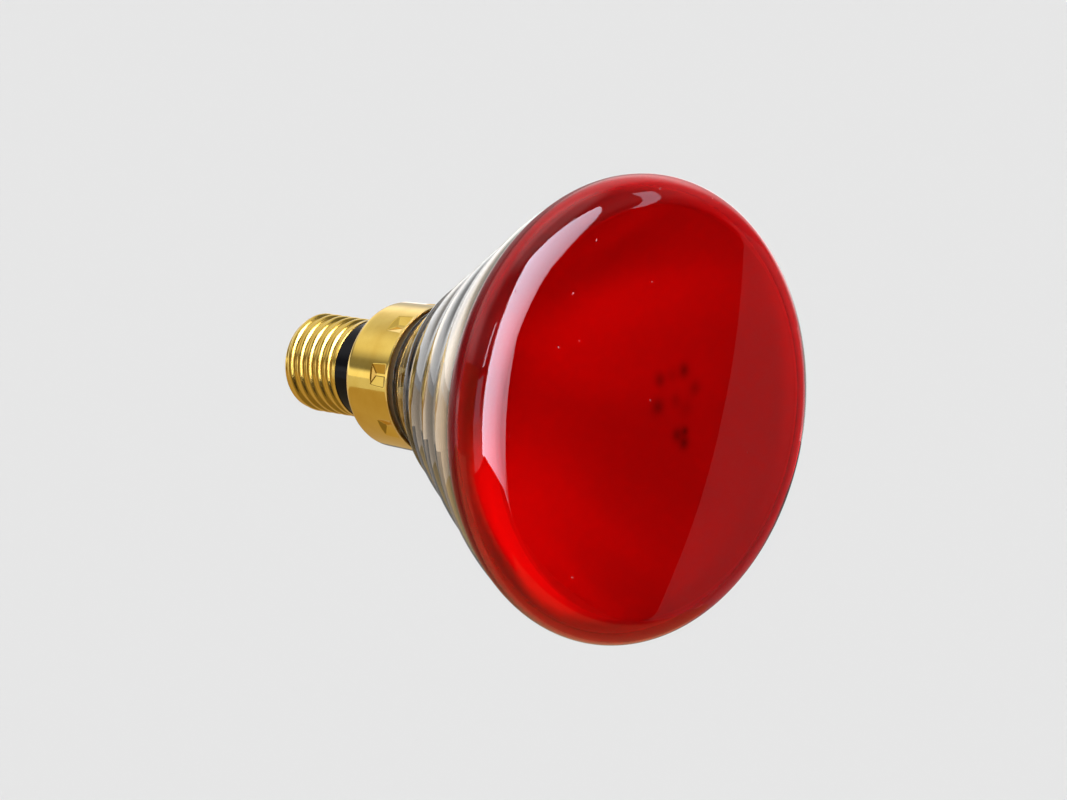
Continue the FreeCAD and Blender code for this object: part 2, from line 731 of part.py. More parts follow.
def make_contact():
    """Brass eyelet disc on the end of the insulator."""
    body = new_body("center_contact")
    turned(body, [
        ("contact_hole_radius", "contact_face_height"),
        ("contact_flat_radius", "contact_face_height"),
        ("contact_radius", "contact_side_height", "contact_edge_round", 1),
        ("contact_radius", "contact_seat_height"),
        ("contact_hole_radius", "contact_seat_height"),
    ])
    return body


def make_solder():
    """Solder button that fills the eyelet around the end of the lead."""
    body = new_body("contact_solder")
    turned(body, [
        ("axis", "tip_height"),
        ("solder_radius", "contact_face_height", "solder_round", 1),
        ("contact_hole_radius", "contact_face_height"),
        ("contact_hole_radius", "contact_seat_height"),
        ("lead_radius", "contact_seat_height"),
        ("lead_radius", "solder_lead_height"),
        ("axis", "solder_lead_height"),
    ])
    return body


fill_sheet()
pieces = [
    make_lens(),
    make_bowl(),
    make_mirror(),
    make_filament(),
    make_post("left_post", "-ferrule_offset"),
    make_post("right_post", "ferrule_offset"),
    make_ferrule("left_ferrule", "-ferrule_offset"),
    make_ferrule("right_ferrule", "ferrule_offset"),
    make_contact_lead(),
    make_shell_lead(),
    make_skirt(),
    make_ring(),
    make_shell(),
    make_base_insulator(),
    make_contact(),
    make_solder(),
]
doc.recompute()
os.makedirs("parts", exist_ok=True)
for item in doc.Objects:
    if "Invalid" in item.State or "Error" in item.State:
        raise RuntimeError("cannot build " + item.Label)
for piece in pieces:
    if piece.Shape.isNull() or not piece.Shape.isValid():
        raise RuntimeError("bad shape in " + piece.Label)
    print(piece.Label, len(piece.Shape.Solids), round(piece.Shape.Volume, 1))
    piece.Shape.exportStep("parts/" + piece.Label + ".step")
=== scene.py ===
import math
import bmesh
import bpy
import numpy as np
from mathutils import Matrix, Vector


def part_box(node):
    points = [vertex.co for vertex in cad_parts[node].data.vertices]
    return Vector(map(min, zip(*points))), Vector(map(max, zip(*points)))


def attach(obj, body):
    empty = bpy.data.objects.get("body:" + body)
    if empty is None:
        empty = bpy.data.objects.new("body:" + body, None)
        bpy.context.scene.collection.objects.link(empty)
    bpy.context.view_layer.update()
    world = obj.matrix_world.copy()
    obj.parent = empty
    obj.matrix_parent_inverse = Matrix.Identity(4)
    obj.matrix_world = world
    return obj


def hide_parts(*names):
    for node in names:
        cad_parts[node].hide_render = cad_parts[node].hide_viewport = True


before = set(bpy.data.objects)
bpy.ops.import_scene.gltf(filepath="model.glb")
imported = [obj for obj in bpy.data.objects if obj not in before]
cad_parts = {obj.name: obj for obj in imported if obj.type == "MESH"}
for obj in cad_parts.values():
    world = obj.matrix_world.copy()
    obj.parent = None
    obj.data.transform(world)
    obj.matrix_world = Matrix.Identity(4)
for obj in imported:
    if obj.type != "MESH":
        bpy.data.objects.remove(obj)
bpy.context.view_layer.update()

# Studio: the lamp hangs over a wide pale floor under a soft overhead light, seen from its front left
# through a long lens. Cards, mats and glowing panels show only in glass and polished metal, and
# stand for the room that the lamp mirrors.
CAMERA_TURN = math.radians(43.4)
CAMERA_TILT = math.radians(8.54)
CAMERA_DISTANCE = 1.79104
RIM_IN_VIEW = (0.02473, 0.00252)
RIM_CENTRE = Vector((0.0, -0.0994, 0.0))
FOCAL_LENGTH = 236.2
SENSOR_WIDTH = 36.0
VIEW_DEPTH = 60.0
FLOOR_DROP = 0.6
FLOOR_REACH = 14.0
FLOOR_COLOUR = (0.752, 0.752, 0.752)
GLOW_COLOUR = (1.0, 0.92, 1.12)
SKY_COLOUR = (1.0, 1.0, 1.0, 1.0)
MAT_DROP = 0.36
# A mat: its sides left, right, front and back, its lift and its colour.
MATS = (
    ("front_mat", (-0.8, 0.5, -1.6, -0.45), 0.0, (0.03, 0.025, 0.02)),
    # The mat under the lamp is painted shade: a brown sheet seen only in glass and polished metal,
    # standing for the shaded table beneath the lamp.
    ("shade_mat", (-0.8, 0.5, -0.45, 0.06), 0.0, (0.24, 0.18, 0.09)),
    ("left_mat", (-0.8, -0.12, -0.6, -0.27), 0.002, (0.03, 0.025, 0.02)),
    ("back_mat", (-1.2, 0.5, 0.06, 1.2), 0.0, (0.50, 0.38, 0.20)),
    ("far_mat", (-0.5, 3.0, 1.2, 4.5), -0.01, (0.74, 0.63, 0.50)),
    ("right_mat", (0.5, 1.6, -0.3, 1.6), 0.0, (0.20, 0.20, 0.20)),
)
# A card: its reach, its corners by bearing and rise, and its colour.
CARDS = (
    ("side_card", 1.2, ((-65.2, -30.0), (-44.5, -30.0), (-33.0, 10.0), (-65.2, 10.0)),
     (0.015, 0.015, 0.015)),
    ("grey_card", 1.2, ((-44.5, -30.0), (-5.0, -30.0), (-5.0, 10.0), (-33.0, 10.0)),
     (0.23, 0.23, 0.23)),
    ("left_card", 1.6, ((142.0, -35.0), (200.0, -35.0), (200.0, 18.0), (142.0, 18.0)),
     (0.30, 0.21, 0.10)),
)
# A glowing panel: its reach, its corners, its level and how its glow slopes.
GLOWS = (
    ("window", 1.5, ((-130.0, -15.0), (-65.5, -15.0), (-53.0, 50.0), (-130.0, 62.0)),
     8.2, (-7.0, 0.0, 3.5)),
    ("left_glow", 1.5, ((-158.0, -3.0), (-141.0, -3.0), (-141.0, 14.0), (-158.0, 14.0)), 1.0, None),
    ("side_window", 1.0, ((-49.5, 11.0), (-47.5, 9.5), (-29.0, 39.0), (-36.0, 45.0)), 2.4, None),
    ("tube", 1.4, ((-151.0, 18.0), (-146.0, 18.0), (-142.0, 35.0), (-147.0, 35.0)), 6.0, None),
)
BACK_BEARING = 90.0
BACK_EDGE = (62.0, 92.0)
DIM_SHARE = 0.2
# A stop of the sky: its height in degrees and its level.
SKY_STOPS = ((-6.0, 0.45), (-2.0, 1.25), (3.0, 1.25), (8.0, 0.25), (14.0, 0.28),
             (28.0, 1.0), (34.0, 1.0), (42.0, 0.70), (60.0, 0.55), (90.0, 0.55))
# A softbox: its bearing, half width, foot, head, level and soft edge.
SOFTBOXES = ((-98.0, 32.0, -15.0, 60.0, 2.4, 1.0),
             (50.0, 40.0, -4.0, 32.0, 0.35, 4.0),
             (-90.0, 190.0, 64.0, 100.0, 0.5, 6.0))
OVERHEAD_LEVEL = 0.8
OVERHEAD_SOFTNESS = math.radians(60.0)


def camera_axes(turn, tilt):
    """Right, up and back of a camera turned from +Y towards +X and tilted down."""
    right = Vector((math.cos(turn), -math.sin(turn), 0.0))
    level = math.cos(tilt)
    ahead = Vector((math.sin(turn) * level, math.cos(turn) * level, -math.sin(tilt)))
    return right, right.cross(ahead), -ahead


def place_camera():
    """Puts the camera where the rim's centre falls at its place in the picture."""
    right, up, back = camera_axes(CAMERA_TURN, CAMERA_TILT)
    across, down = RIM_IN_VIEW
    spot = RIM_CENTRE - right * across + up * down + back * CAMERA_DISTANCE
    data = bpy.data.cameras.new("view")
    data.sensor_fit = "HORIZONTAL"
    data.sensor_width = SENSOR_WIDTH
    data.lens = FOCAL_LENGTH
    data.clip_end = VIEW_DEPTH
    camera = bpy.data.objects.new("view", data)
    camera.matrix_world = Matrix((right, up, back)).transposed().to_4x4()
    camera.location = spot
    bpy.context.collection.objects.link(camera)
    bpy.context.scene.camera = camera


def new_material(name):
    """A material without shaders: the material, its node tree and its output node."""
    material = bpy.data.materials.new(name)
    material.use_nodes = True
    tree = material.node_tree
    tree.nodes.clear()
    output = tree.nodes.new("ShaderNodeOutputMaterial")
    return material, tree, output


def flat_panel(name, corners, kind, colour, level=None):
    """A single four-cornered sheet of the studio, matt or glowing, corner by corner in order."""
    mesh = bpy.data.meshes.new(name)
    mesh.from_pydata([tuple(corner) for corner in corners], [], [(0, 1, 2, 3)])
    sheet = bpy.data.objects.new(name, mesh)
    bpy.context.collection.objects.link(sheet)
    material, tree, output = new_material(name)
    shader = tree.nodes.new(kind)
    shader.inputs["Color"].default_value = (*colour, 1.0)
    if level:
        shader.inputs["Strength"].default_value = level
    tree.links.new(shader.outputs[0], output.inputs["Surface"])
    mesh.materials.append(material)
    return sheet


def matt_card(name, corners, colour):
    """A matt card or mat that only mirrors and glass see."""
    card = flat_panel(name, corners, "ShaderNodeBsdfDiffuse", colour)
    card.visible_camera = card.visible_diffuse = card.visible_shadow = False


def sky_node(tree, kind, operation, *sources, **values):
    """One node of the sky or of a glow: its operation, linked inputs in order, others by number."""
    node = tree.nodes.new(kind)
    node.operation = operation
    for socket, source in zip(node.inputs, sources):
        tree.links.new(source, socket)
    for key, value in values.items():
        node.inputs[int(key[1:])].default_value = value
    return node.outputs["Value"]


def glowing_card(name, corners, level, slope):
    """A bright card that is only seen mirrored in polished surfaces.

    With a slope its glow is the level plus the place on the card, in metres, along the slope.
    """
    card = flat_panel(name, corners, "ShaderNodeEmission", GLOW_COLOUR, level)
    if slope:
        tree = card.active_material.node_tree
        place = tree.nodes.new("ShaderNodeTexCoord").outputs["Object"]
        glow = sky_node(tree, "ShaderNodeVectorMath", "DOT_PRODUCT", place, i1=slope)
        glow = sky_node(tree, "ShaderNodeMath", "ADD", glow, i1=level)
        tree.links.new(glow, tree.nodes["Emission"].inputs["Strength"])
    card.visible_camera = card.visible_diffuse = False
    card.visible_shadow = card.visible_transmission = False


def level_sheet(left, right, front, back, height):
    """Corners of a sheet lying level between two x and two y."""
    return [(left, front, height), (right, front, height), (right, back, height), (left, back, height)]


def toward(reach, *directions):
    """Points at one reach from the rim's centre, by bearing and rise in degrees."""
    turns = [(math.radians(bearing), math.radians(rise)) for bearing, rise in directions]
    rays = [(math.cos(turn) * math.cos(rise), math.sin(turn) * math.cos(rise), math.sin(rise))
            for turn, rise in turns]
    return [RIM_CENTRE + reach * Vector(ray) for ray in rays]


place_camera()
flat_panel("floor", level_sheet(-FLOOR_REACH, FLOOR_REACH, -FLOOR_REACH, FLOOR_REACH, -FLOOR_DROP),
           "ShaderNodeBsdfDiffuse", FLOOR_COLOUR)
for name, sides, lift, colour in MATS:
    matt_card(name, level_sheet(*sides, lift - MAT_DROP), colour)
for name, reach, corners, colour in CARDS:
    matt_card(name, toward(reach, *corners), colour)
for name, reach, corners, level, slope in GLOWS:
    glowing_card(name, toward(reach, *corners), level, slope)


def sky_ramp(tree, source, low, high, start, stop):
    """Eases from start to stop while the source goes from low to high degrees."""
    ramp = tree.nodes.new("ShaderNodeMapRange")
    ramp.interpolation_type = "SMOOTHSTEP"
    values = (math.radians(low), math.radians(high), start, stop)
    for name, value in zip(("From Min", "From Max", "To Min", "To Max"), values):
        ramp.inputs[name].default_value = value
    tree.links.new(source, ramp.inputs["Value"])
    return ramp.outputs["Result"]


def sky_aside(tree, view, bearing):
    """How far a direction lies to either side of a bearing."""
    east, north = math.cos(math.radians(bearing)), math.sin(math.radians(bearing))
    ahead = sky_node(tree, "ShaderNodeVectorMath", "DOT_PRODUCT", view, i1=(east, north, 0.0))
    aside = sky_node(tree, "ShaderNodeVectorMath", "DOT_PRODUCT", view, i1=(-north, east, 0.0))
    turn = sky_node(tree, "ShaderNodeMath", "ARCTAN2", aside, ahead)
    return sky_node(tree, "ShaderNodeMath", "ABSOLUTE", turn)


def sky_softbox(tree, view, rise, bearing, half_width, low, high, level, edge):
    """A glowing rectangle of sky around a bearing, between two heights, all in degrees."""
    aside = sky_aside(tree, view, bearing)
    side = sky_ramp(tree, aside, half_width - edge, half_width + edge, 1.0, 0.0)
    foot = sky_ramp(tree, rise, low - edge, low + edge, 0.0, 1.0)
    head = sky_ramp(tree, rise, high - edge, high + edge, level, 0.0)
    column = sky_node(tree, "ShaderNodeMath", "MULTIPLY", side, foot)
    return sky_node(tree, "ShaderNodeMath", "MULTIPLY", column, head)


def sky_levels(tree, rise, stops):
    """Brightness of the open sky by height, from pairs of degrees and level."""
    share = sky_ramp(tree, rise, -90.0, 90.0, 0.0, 1.0)
    share.node.interpolation_type = "LINEAR"
    ramp = tree.nodes.new("ShaderNodeValToRGB")
    ramp.color_ramp.interpolation = "EASE"
    marks = ramp.color_ramp.elements
    while len(marks) < len(stops):
        marks.new(0.5)
    for mark, (degrees, level) in zip(marks, stops):
        mark.position = (degrees + 90.0) / 180.0
        mark.color = (level, level, level, 1.0)
    tree.links.new(share, ramp.inputs["Fac"])
    return ramp.outputs["Color"]


def light_studio():
    """Sky that is bright in belts behind the lamp and dim elsewhere, softboxes, and a soft sun."""
    world = bpy.data.worlds.new("studio")
    bpy.context.scene.world = world
    world.use_nodes = True
    tree = world.node_tree
    tree.nodes.clear()
    view = tree.nodes.new("ShaderNodeTexCoord").outputs["Generated"]
    parts = tree.nodes.new("ShaderNodeSeparateXYZ")
    tree.links.new(view, parts.inputs[0])
    rise = sky_node(tree, "ShaderNodeMath", "ARCSINE", parts.outputs["Z"])
    behind = sky_ramp(tree, sky_aside(tree, view, BACK_BEARING), *BACK_EDGE, 1.0, DIM_SHARE)
    total = sky_node(tree, "ShaderNodeMath", "MULTIPLY", sky_levels(tree, rise, SKY_STOPS), behind)
    for softbox in SOFTBOXES:
        total = sky_node(tree, "ShaderNodeMath", "ADD", total, sky_softbox(tree, view, rise, *softbox))
    shine = tree.nodes.new("ShaderNodeBackground")
    shine.inputs["Color"].default_value = SKY_COLOUR
    tree.links.new(total, shine.inputs["Strength"])
    output = tree.nodes.new("ShaderNodeOutputWorld")
    tree.links.new(shine.outputs[0], output.inputs["Surface"])
    sun = bpy.data.objects.new("overhead", bpy.data.lights.new("overhead", "SUN"))
    sun.data.energy = OVERHEAD_LEVEL
    sun.data.angle = OVERHEAD_SOFTNESS
    sun.visible_glossy = sun.visible_transmission = False
    bpy.context.collection.objects.link(sun)


light_studio()
bpy.context.scene.view_settings.view_transform = "Standard"

# Lens: a shallow dish of pressed hard glass with a rounded rim and a slightly domed face, stained
# deep red. It is smooth outside, with a faint wave and small blisters, and stippled inside, where
# soft dark patches are painted shade for the filament and its mount seen through the glass. Its
# edge is fused to the bowl.
MM = 0.001
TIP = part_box("contact_solder")[1].y
OVERALL_LENGTH = 136.5
RIM_RADIUS = 60.75
RIM_BULGE = 1.83
RIM_RISE = 5.2
RIM_ROUND = 8.5
FACE_CROWN = 3.7
LENS_WALL = 3.2
SEAL_WIDTH = 3.4
RIM_HEIGHT = OVERALL_LENGTH - FACE_CROWN - RIM_ROUND
SEAL_HEIGHT = RIM_HEIGHT - RIM_RISE
SEAL_RADIUS = RIM_RADIUS - RIM_BULGE
SEAL_INNER_RADIUS = SEAL_RADIUS - SEAL_WIDTH
SEAL_ROWS = 3
RIM_BACK_ROWS = 14
RIM_ROWS = 26
FACE_ROWS = 30
FACE_INSIDE_ROWS = 64
GLASS_IOR = 1.5
RIM_BACK_IOR = 1.15
RIM_BACK_CLEARNESS = 0.78
FACE_INSIDE_CLEARNESS = 0.6
RIM_INSIDE_CLEARNESS = 0.9
FACE_REDS = ((0.72, 0.004, 0.006, 1.0), (0.76, 0.006, 0.009, 1.0))
# The rim's reds are lighter than the face's: partly a lighter tint of the rim, partly painted light
# for the red glow along the rim.
RIM_TINT_AND_GLOW_REDS = ((0.86, 0.010, 0.015, 1.0), (0.90, 0.013, 0.019, 1.0))
FACE_INSIDE_REDS = ((0.72, 0.004, 0.006, 1.0), (0.80, 0.006, 0.009, 1.0))
RIM_INSIDE_TINT_AND_GLOW_REDS = ((0.92, 0.007, 0.011, 1.0), (0.96, 0.009, 0.013, 1.0))
INSIDE_TINT = (1.0, 0.01, 0.01, 1.0)
SMOOTH_ROUGHNESS = (0.0, 0.02)
STIPPLE_ROUGHNESS = (0.38, 0.46)
BLISTER_SCALE = 120.0
BLISTER_REACH = 0.055
BLISTER_HEIGHT = 0.00012
# Painted shade: soft dark patches inside the lens that stand for the filament and its mount seen
# through the glass.
PAINTED_SHADE_COLOUR = (0.06, 0.012, 0.008, 1.0)
PAINTED_SHADE_MARKS = (
    (-0.3, 1.9, 2.2, 0.8), (9.2, 10.4, 1.9, 0.85), (0.5, 8.7, 1.8, 0.7), (6.6, -6.0, 1.8, 0.8),
    (9.5, -5.3, 1.3, 0.9), (9.2, -8.4, 1.7, 0.9), (13.1, 5.4, 2.0, 0.55), (6.1, 3.0, 1.8, 0.4),
    (9.8, 0.6, 2.5, 0.3), (4.8, 9.6, 2.0, 0.3),
)
AXIS_REACH = 1e-6
MERGE_REACH = 1e-7
SHARP_ANGLE = math.radians(32)
MIX_COLOURS = (6, 7)
MIX_RESULT = 2
LEFT, RIGHT = 1, -1


def straight(start, end, count):
    """Points from start to end in even steps, the end left out."""
    share = np.linspace(0.0, 1.0, count, endpoint=False)[:, None]
    return np.array(start) * (1 - share) + np.array(end) * share


def bend(start, end, radius, turn, count):
    """Points on the shorter arc from start to end, the end left out; turn is LEFT or RIGHT."""
    start, end = np.array(start, float), np.array(end, float)
    half = (end - start) / 2
    length = np.hypot(*half)
    rise = math.sqrt(max(radius ** 2 - length ** 2, 0.0)) / length * turn
    centre = start + half + np.array((-half[1], half[0])) * rise
    first = math.atan2(start[1] - centre[1], start[0] - centre[0])
    sweep = 2 * math.asin(min(length / radius, 1.0)) * turn
    angle = first + sweep * np.linspace(0.0, 1.0, count, endpoint=False)
    return centre + radius * np.stack((np.cos(angle), np.sin(angle)), axis=1)


def grid_mesh(name, points, closed_rows, finishes=None):
    """A mesh over a grid of points: rows along a profile, columns around the lamp axis.

    Columns always join up; rows join when the profile is a closed loop. Points that fall
    together on the axis are merged, and faces are turned outward. finishes numbers the
    material of the strip that follows each row.
    """
    rows, columns = points.shape[:2]
    index = np.arange(rows * columns).reshape(rows, columns)
    beside = np.roll(index, -1, axis=1)
    after, beside_after = np.roll(index, -1, axis=0), np.roll(beside, -1, axis=0)
    quads = np.stack((index, beside, beside_after, after), axis=-1)
    strips = rows if closed_rows else rows - 1
    mesh = bpy.data.meshes.new(name)
    mesh.from_pydata(points.reshape(-1, 3), [], quads[:strips].reshape(-1, 4))
    if finishes is not None:
        mesh.polygons.foreach_set("material_index", np.repeat(finishes[:strips], columns))
    form = bmesh.new()
    form.from_mesh(mesh)
    bmesh.ops.remove_doubles(form, verts=form.verts, dist=MERGE_REACH)
    bmesh.ops.recalc_face_normals(form, faces=form.faces)
    form.to_mesh(mesh)
    form.free()
    mesh.polygons.foreach_set("use_smooth", np.ones(len(mesh.polygons), bool))
    mesh.set_sharp_from_angle(angle=SHARP_ANGLE)
    piece = bpy.data.objects.new(name, mesh)
    bpy.context.collection.objects.link(piece)
    return piece


def turned(name, profile, columns=256, press=None, finishes=None):
    """A profile of (radius, height) points carried round the lamp axis, as one surface.

    Each point becomes (r cos a, tip - height, r sin a) for every angle a. A profile that starts
    off the axis is a closed loop. columns is a count or the angles themselves; press gives the
    radius anew from angle, radius and height.
    """
    closed = profile[0][0] > AXIS_REACH
    angle = columns
    if isinstance(columns, int):
        angle = np.linspace(0.0, 2 * math.pi, columns, endpoint=False)
    radius, height = profile[:, :1] + 0 * angle, profile[:, 1:] + 0 * angle
    if press:
        radius = press(angle, radius, height)
    points = np.stack((radius * np.cos(angle), -height, radius * np.sin(angle)), axis=-1) * MM
    points[..., 1] += TIP
    return grid_mesh(name, points, closed, finishes)


def dress(piece, node, slot, *materials):
    """Makes the piece stand for its CAD node, with its finishes in order."""
    for material in materials:
        piece.data.materials.append(material)
    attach(piece, "root")
    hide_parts(node)


def finish_node(tree, kind, **inputs):
    """One node of a finish, with its unlinked inputs by name (spaces as underscores)."""
    node = tree.nodes.new(kind)
    for key, value in inputs.items():
        node.inputs[key.replace("_", " ")].default_value = value
    return node


def principled(name, **inputs):
    """A material with one principled shader and its constant sockets set.

    Gives the material, its node tree, the shader and the object coordinates.
    """
    material, tree, output = new_material(name)
    shader = finish_node(tree, "ShaderNodeBsdfPrincipled", **inputs)
    tree.links.new(shader.outputs["BSDF"], output.inputs["Surface"])
    place = tree.nodes.new("ShaderNodeTexCoord").outputs["Object"]
    return material, tree, shader, place


def noise(tree, place, scale, detail=3.0, stretch=None):
    """Smooth noise over object coordinates, stretched along an axis if asked."""
    if stretch:
        mapping = finish_node(tree, "ShaderNodeMapping", Scale=stretch)
        tree.links.new(place, mapping.inputs["Vector"])
        place = mapping.outputs["Vector"]
    node = finish_node(tree, "ShaderNodeTexNoise", Scale=scale, Detail=detail)
    tree.links.new(place, node.inputs["Vector"])
    return node.outputs["Fac"]


def between(tree, source, start, stop, low=0.3, high=0.7):
    """Goes from start to stop while the source goes from low to high, held at the ends.

    Most noise keeps to the range that low and high have here.
    """
    ramp = finish_node(tree, "ShaderNodeMapRange",
                       From_Min=low, From_Max=high, To_Min=start, To_Max=stop)
    tree.links.new(source, ramp.inputs["Value"])
    return ramp.outputs["Result"]


def blend_colour(tree, factor, first, second):
    """A colour that goes from the first to the second with the factor."""
    mix = tree.nodes.new("ShaderNodeMix")
    mix.data_type = "RGBA"
    for socket, colour in zip(MIX_COLOURS, (first, second)):
        mix.inputs[socket].default_value = colour
    tree.links.new(factor, mix.inputs["Factor"])
    return mix.outputs[MIX_RESULT]


def mottle(tree, shader, pattern, shades, rough):
    """Base colour between two shades and roughness between two values, by one pattern."""
    colour = blend_colour(tree, between(tree, pattern, 0.0, 1.0), *shades)
    tree.links.new(colour, shader.inputs["Base Color"])
    tree.links.new(between(tree, pattern, *rough), shader.inputs["Roughness"])
    return colour


def bump(tree, shader, source, strength, distance):
    """Fine relief from a height pattern, laid over any relief that the shader already has."""
    node = finish_node(tree, "ShaderNodeBump", Strength=strength, Distance=distance)
    tree.links.new(source, node.inputs["Height"])
    for link in shader.inputs["Normal"].links:
        tree.links.new(link.from_socket, node.inputs["Normal"])
    tree.links.new(node.outputs["Normal"], shader.inputs["Normal"])


def lens_profile():
    """Inside from the apex to the seal, then outside over the rim to the apex, with finishes.

    The rim's back is an arc of radius (rise squared + bulge squared) / (2 bulge), and the face
    runs into the rim's round with no corner. Finishes by row: 0 outer face, 1 inner face,
    2 inner rim, 3 outer rim, 4 back of the rim.
    """
    rim_back_round = (RIM_RISE ** 2 + RIM_BULGE ** 2) / (2 * RIM_BULGE)
    inner_step = RIM_BULGE + SEAL_WIDTH - LENS_WALL
    rim_back_inner_round = (RIM_RISE ** 2 + inner_step ** 2) / (2 * inner_step)
    rim_inner_round = RIM_ROUND - LENS_WALL
    rim_centre = RIM_RADIUS - RIM_ROUND
    rise = RIM_ROUND + FACE_CROWN
    face_round = (rim_centre ** 2 + rise ** 2 - RIM_ROUND ** 2) / (2 * FACE_CROWN)
    face_inner_round = face_round - LENS_WALL
    scale = 1 / (face_round - RIM_ROUND)
    shoulder = (rim_centre * face_round * scale,
                RIM_HEIGHT + RIM_ROUND * (face_round - rise) * scale)
    shoulder_inner = (rim_centre * face_inner_round * scale,
                      RIM_HEIGHT + rim_inner_round * (face_round - rise) * scale)
    seal, rim, apex = (SEAL_RADIUS, SEAL_HEIGHT), (RIM_RADIUS, RIM_HEIGHT), (0.0, OVERALL_LENGTH)
    seal_inner = (SEAL_INNER_RADIUS, SEAL_HEIGHT)
    rim_inner = (RIM_RADIUS - LENS_WALL, RIM_HEIGHT)
    outside = np.concatenate((
        straight(seal_inner, seal, SEAL_ROWS),
        bend(seal, rim, rim_back_round, LEFT, RIM_BACK_ROWS),
        bend(rim, shoulder, RIM_ROUND, LEFT, RIM_ROWS),
        bend(shoulder, apex, face_round, LEFT, FACE_ROWS),
        [apex],
    ))
    apex_inner = (0.0, OVERALL_LENGTH - LENS_WALL)
    inside = np.concatenate((
        bend(apex_inner, shoulder_inner, face_inner_round, RIGHT, FACE_INSIDE_ROWS),
        bend(shoulder_inner, rim_inner, rim_inner_round, RIGHT, RIM_ROWS),
        bend(rim_inner, seal_inner, rim_back_inner_round, RIGHT, RIM_BACK_ROWS),
    ))
    path = np.concatenate((inside, outside))
    place = np.arange(len(path))
    rim_row = len(inside) + SEAL_ROWS + RIM_BACK_ROWS
    ends = (FACE_INSIDE_ROWS, len(inside), rim_row - 1, rim_row + RIM_ROWS)
    return path, np.select([place < end for end in ends], (1, 2, 4, 3), 0)


def lens_glass(name, reds, ior=GLASS_IOR, clear=1.0):
    """Hard glass stained deep red, smooth from the mould, with a faint wave and blisters."""
    material, tree, shader, place = principled(name, Transmission_Weight=clear, IOR=ior)
    wave = noise(tree, place, scale=28.0, detail=1.0)
    mottle(tree, shader, wave, reds, SMOOTH_ROUGHNESS)
    bump(tree, shader, wave, strength=0.05, distance=0.0004)
    seeds = finish_node(tree, "ShaderNodeTexVoronoi", Scale=BLISTER_SCALE)
    tree.links.new(place, seeds.inputs["Vector"])
    blister = between(tree, seeds.outputs["Distance"], 1.0, 0.0, 0.0, BLISTER_REACH)
    blister.node.interpolation_type = "SMOOTHSTEP"
    bump(tree, shader, blister, strength=1.0, distance=BLISTER_HEIGHT)
    return material


def paint_shade_marks(piece):
    """Notes at each point how much painted shade it takes, for the filament mount seen through the
    lens: bell curves around the marks, added up.

    A mark is its place across and up the face, its reach and its strength.
    """
    place = np.empty(3 * len(piece.data.vertices))
    piece.data.vertices.foreach_get("co", place)
    across, _, up = place.reshape(-1, 3, 1).transpose(1, 0, 2) / MM
    mark_across, mark_up, reach, strength = np.array(PAINTED_SHADE_MARKS).T
    gap = (across - mark_across) ** 2 + (up - mark_up) ** 2
    painted_shade = (strength * np.exp(-gap / reach ** 2)).sum(axis=1)
    layer = piece.data.attributes.new("painted_shade", "FLOAT", "POINT")
    layer.data.foreach_set("value", np.minimum(painted_shade, 1.0))


def lens_inside(name, reds, clear):
    """Inner side of the same red glass, stippled, and darkened where painted shade stands for the
    filament mount seen through it.
    """
    material, tree, shader, place = principled(
        name, Transmission_Weight=clear, IOR=GLASS_IOR, Specular_Tint=INSIDE_TINT)
    cloud = noise(tree, place, scale=18.0, detail=4.0)
    red = mottle(tree, shader, cloud, reds, STIPPLE_ROUGHNESS)
    painted_shade = tree.nodes.new("ShaderNodeAttribute")
    painted_shade.attribute_name = "painted_shade"
    shaded = blend_colour(tree, painted_shade.outputs["Fac"], reds[0], PAINTED_SHADE_COLOUR)
    tree.links.new(red, shaded.node.inputs[MIX_COLOURS[0]])
    tree.links.new(shaded, shader.inputs["Base Color"])
    return material


profile, finishes = lens_profile()
lens = turned("lens_glass", profile, finishes=finishes)
paint_shade_marks(lens)
face_glass = lens_glass("face_glass", FACE_REDS)
face_inside = lens_inside("face_inside", FACE_INSIDE_REDS, FACE_INSIDE_CLEARNESS)
rim_inside = lens_inside("rim_inside", RIM_INSIDE_TINT_AND_GLOW_REDS, RIM_INSIDE_CLEARNESS)
rim_glass = lens_glass("rim_glass", RIM_TINT_AND_GLOW_REDS)
rim_back = lens_glass("rim_back", RIM_TINT_AND_GLOW_REDS, RIM_BACK_IOR, RIM_BACK_CLEARNESS)
dress(lens, "lens", "red_glass", face_glass, face_inside, rim_inside, rim_glass, rim_back)

# Reflector bowl: clear pressed hard glass, a banded cone with a bead ring near its narrow end and a
# rounded ledge where it starts. Its neck is ground dull, with recesses for the skirt's stakes, and
# the sealed-off tip of the pump tube stands under its flat floor.
NECK_RADIUS = 18.5
NECK_END_HEIGHT = 55.3
HEEL_HEIGHT = 38.8
HEEL_RECESS_RADIUS = 14.0
HEEL_DRAFT = 0.5
CONE_START = (19.8, 56.0)
LEDGE_TRIM = 0.5
LEDGE_ROUND = 0.9
CONE_SLOPE = (SEAL_RADIUS - CONE_START[0]) / (SEAL_HEIGHT - CONE_START[1])
BEAD_BACK_HEIGHT = 68.5
BEAD_LENGTH = 5.0
BEAD_ROUND = 6.0
BAND_COUNT = 3
BAND_ROUND = 60.0
MIRROR_START = (16.0, 62.5)
MIRROR_ROUND = 370.0
FLOOR_HEIGHT = 48.8
FLOOR_BACK_HEIGHT = 44.8
FLOOR_RADIUS = 13.5
PUMP_TIP_RADIUS = 2.5
PUMP_TIP_HEIGHT = 41.6
STAKE_COUNT = 8
STAKE_TURN = math.radians(171.2)
STAKE_HEIGHT = 49.4
STAKE_DEPTH = 1.2
STAKE_SIZE = (8.0, 6.2)
STAKE_VALLEY = (0.8, 3.0)
STAKE_FIT = 0.15
NECK_MARGIN = 0.1
SKIRT_WALL = 0.45
SKIRT_FRONT_RADIUS = 19.75
CLEAR_COLOUR = (0.96, 0.935, 0.88, 1.0)
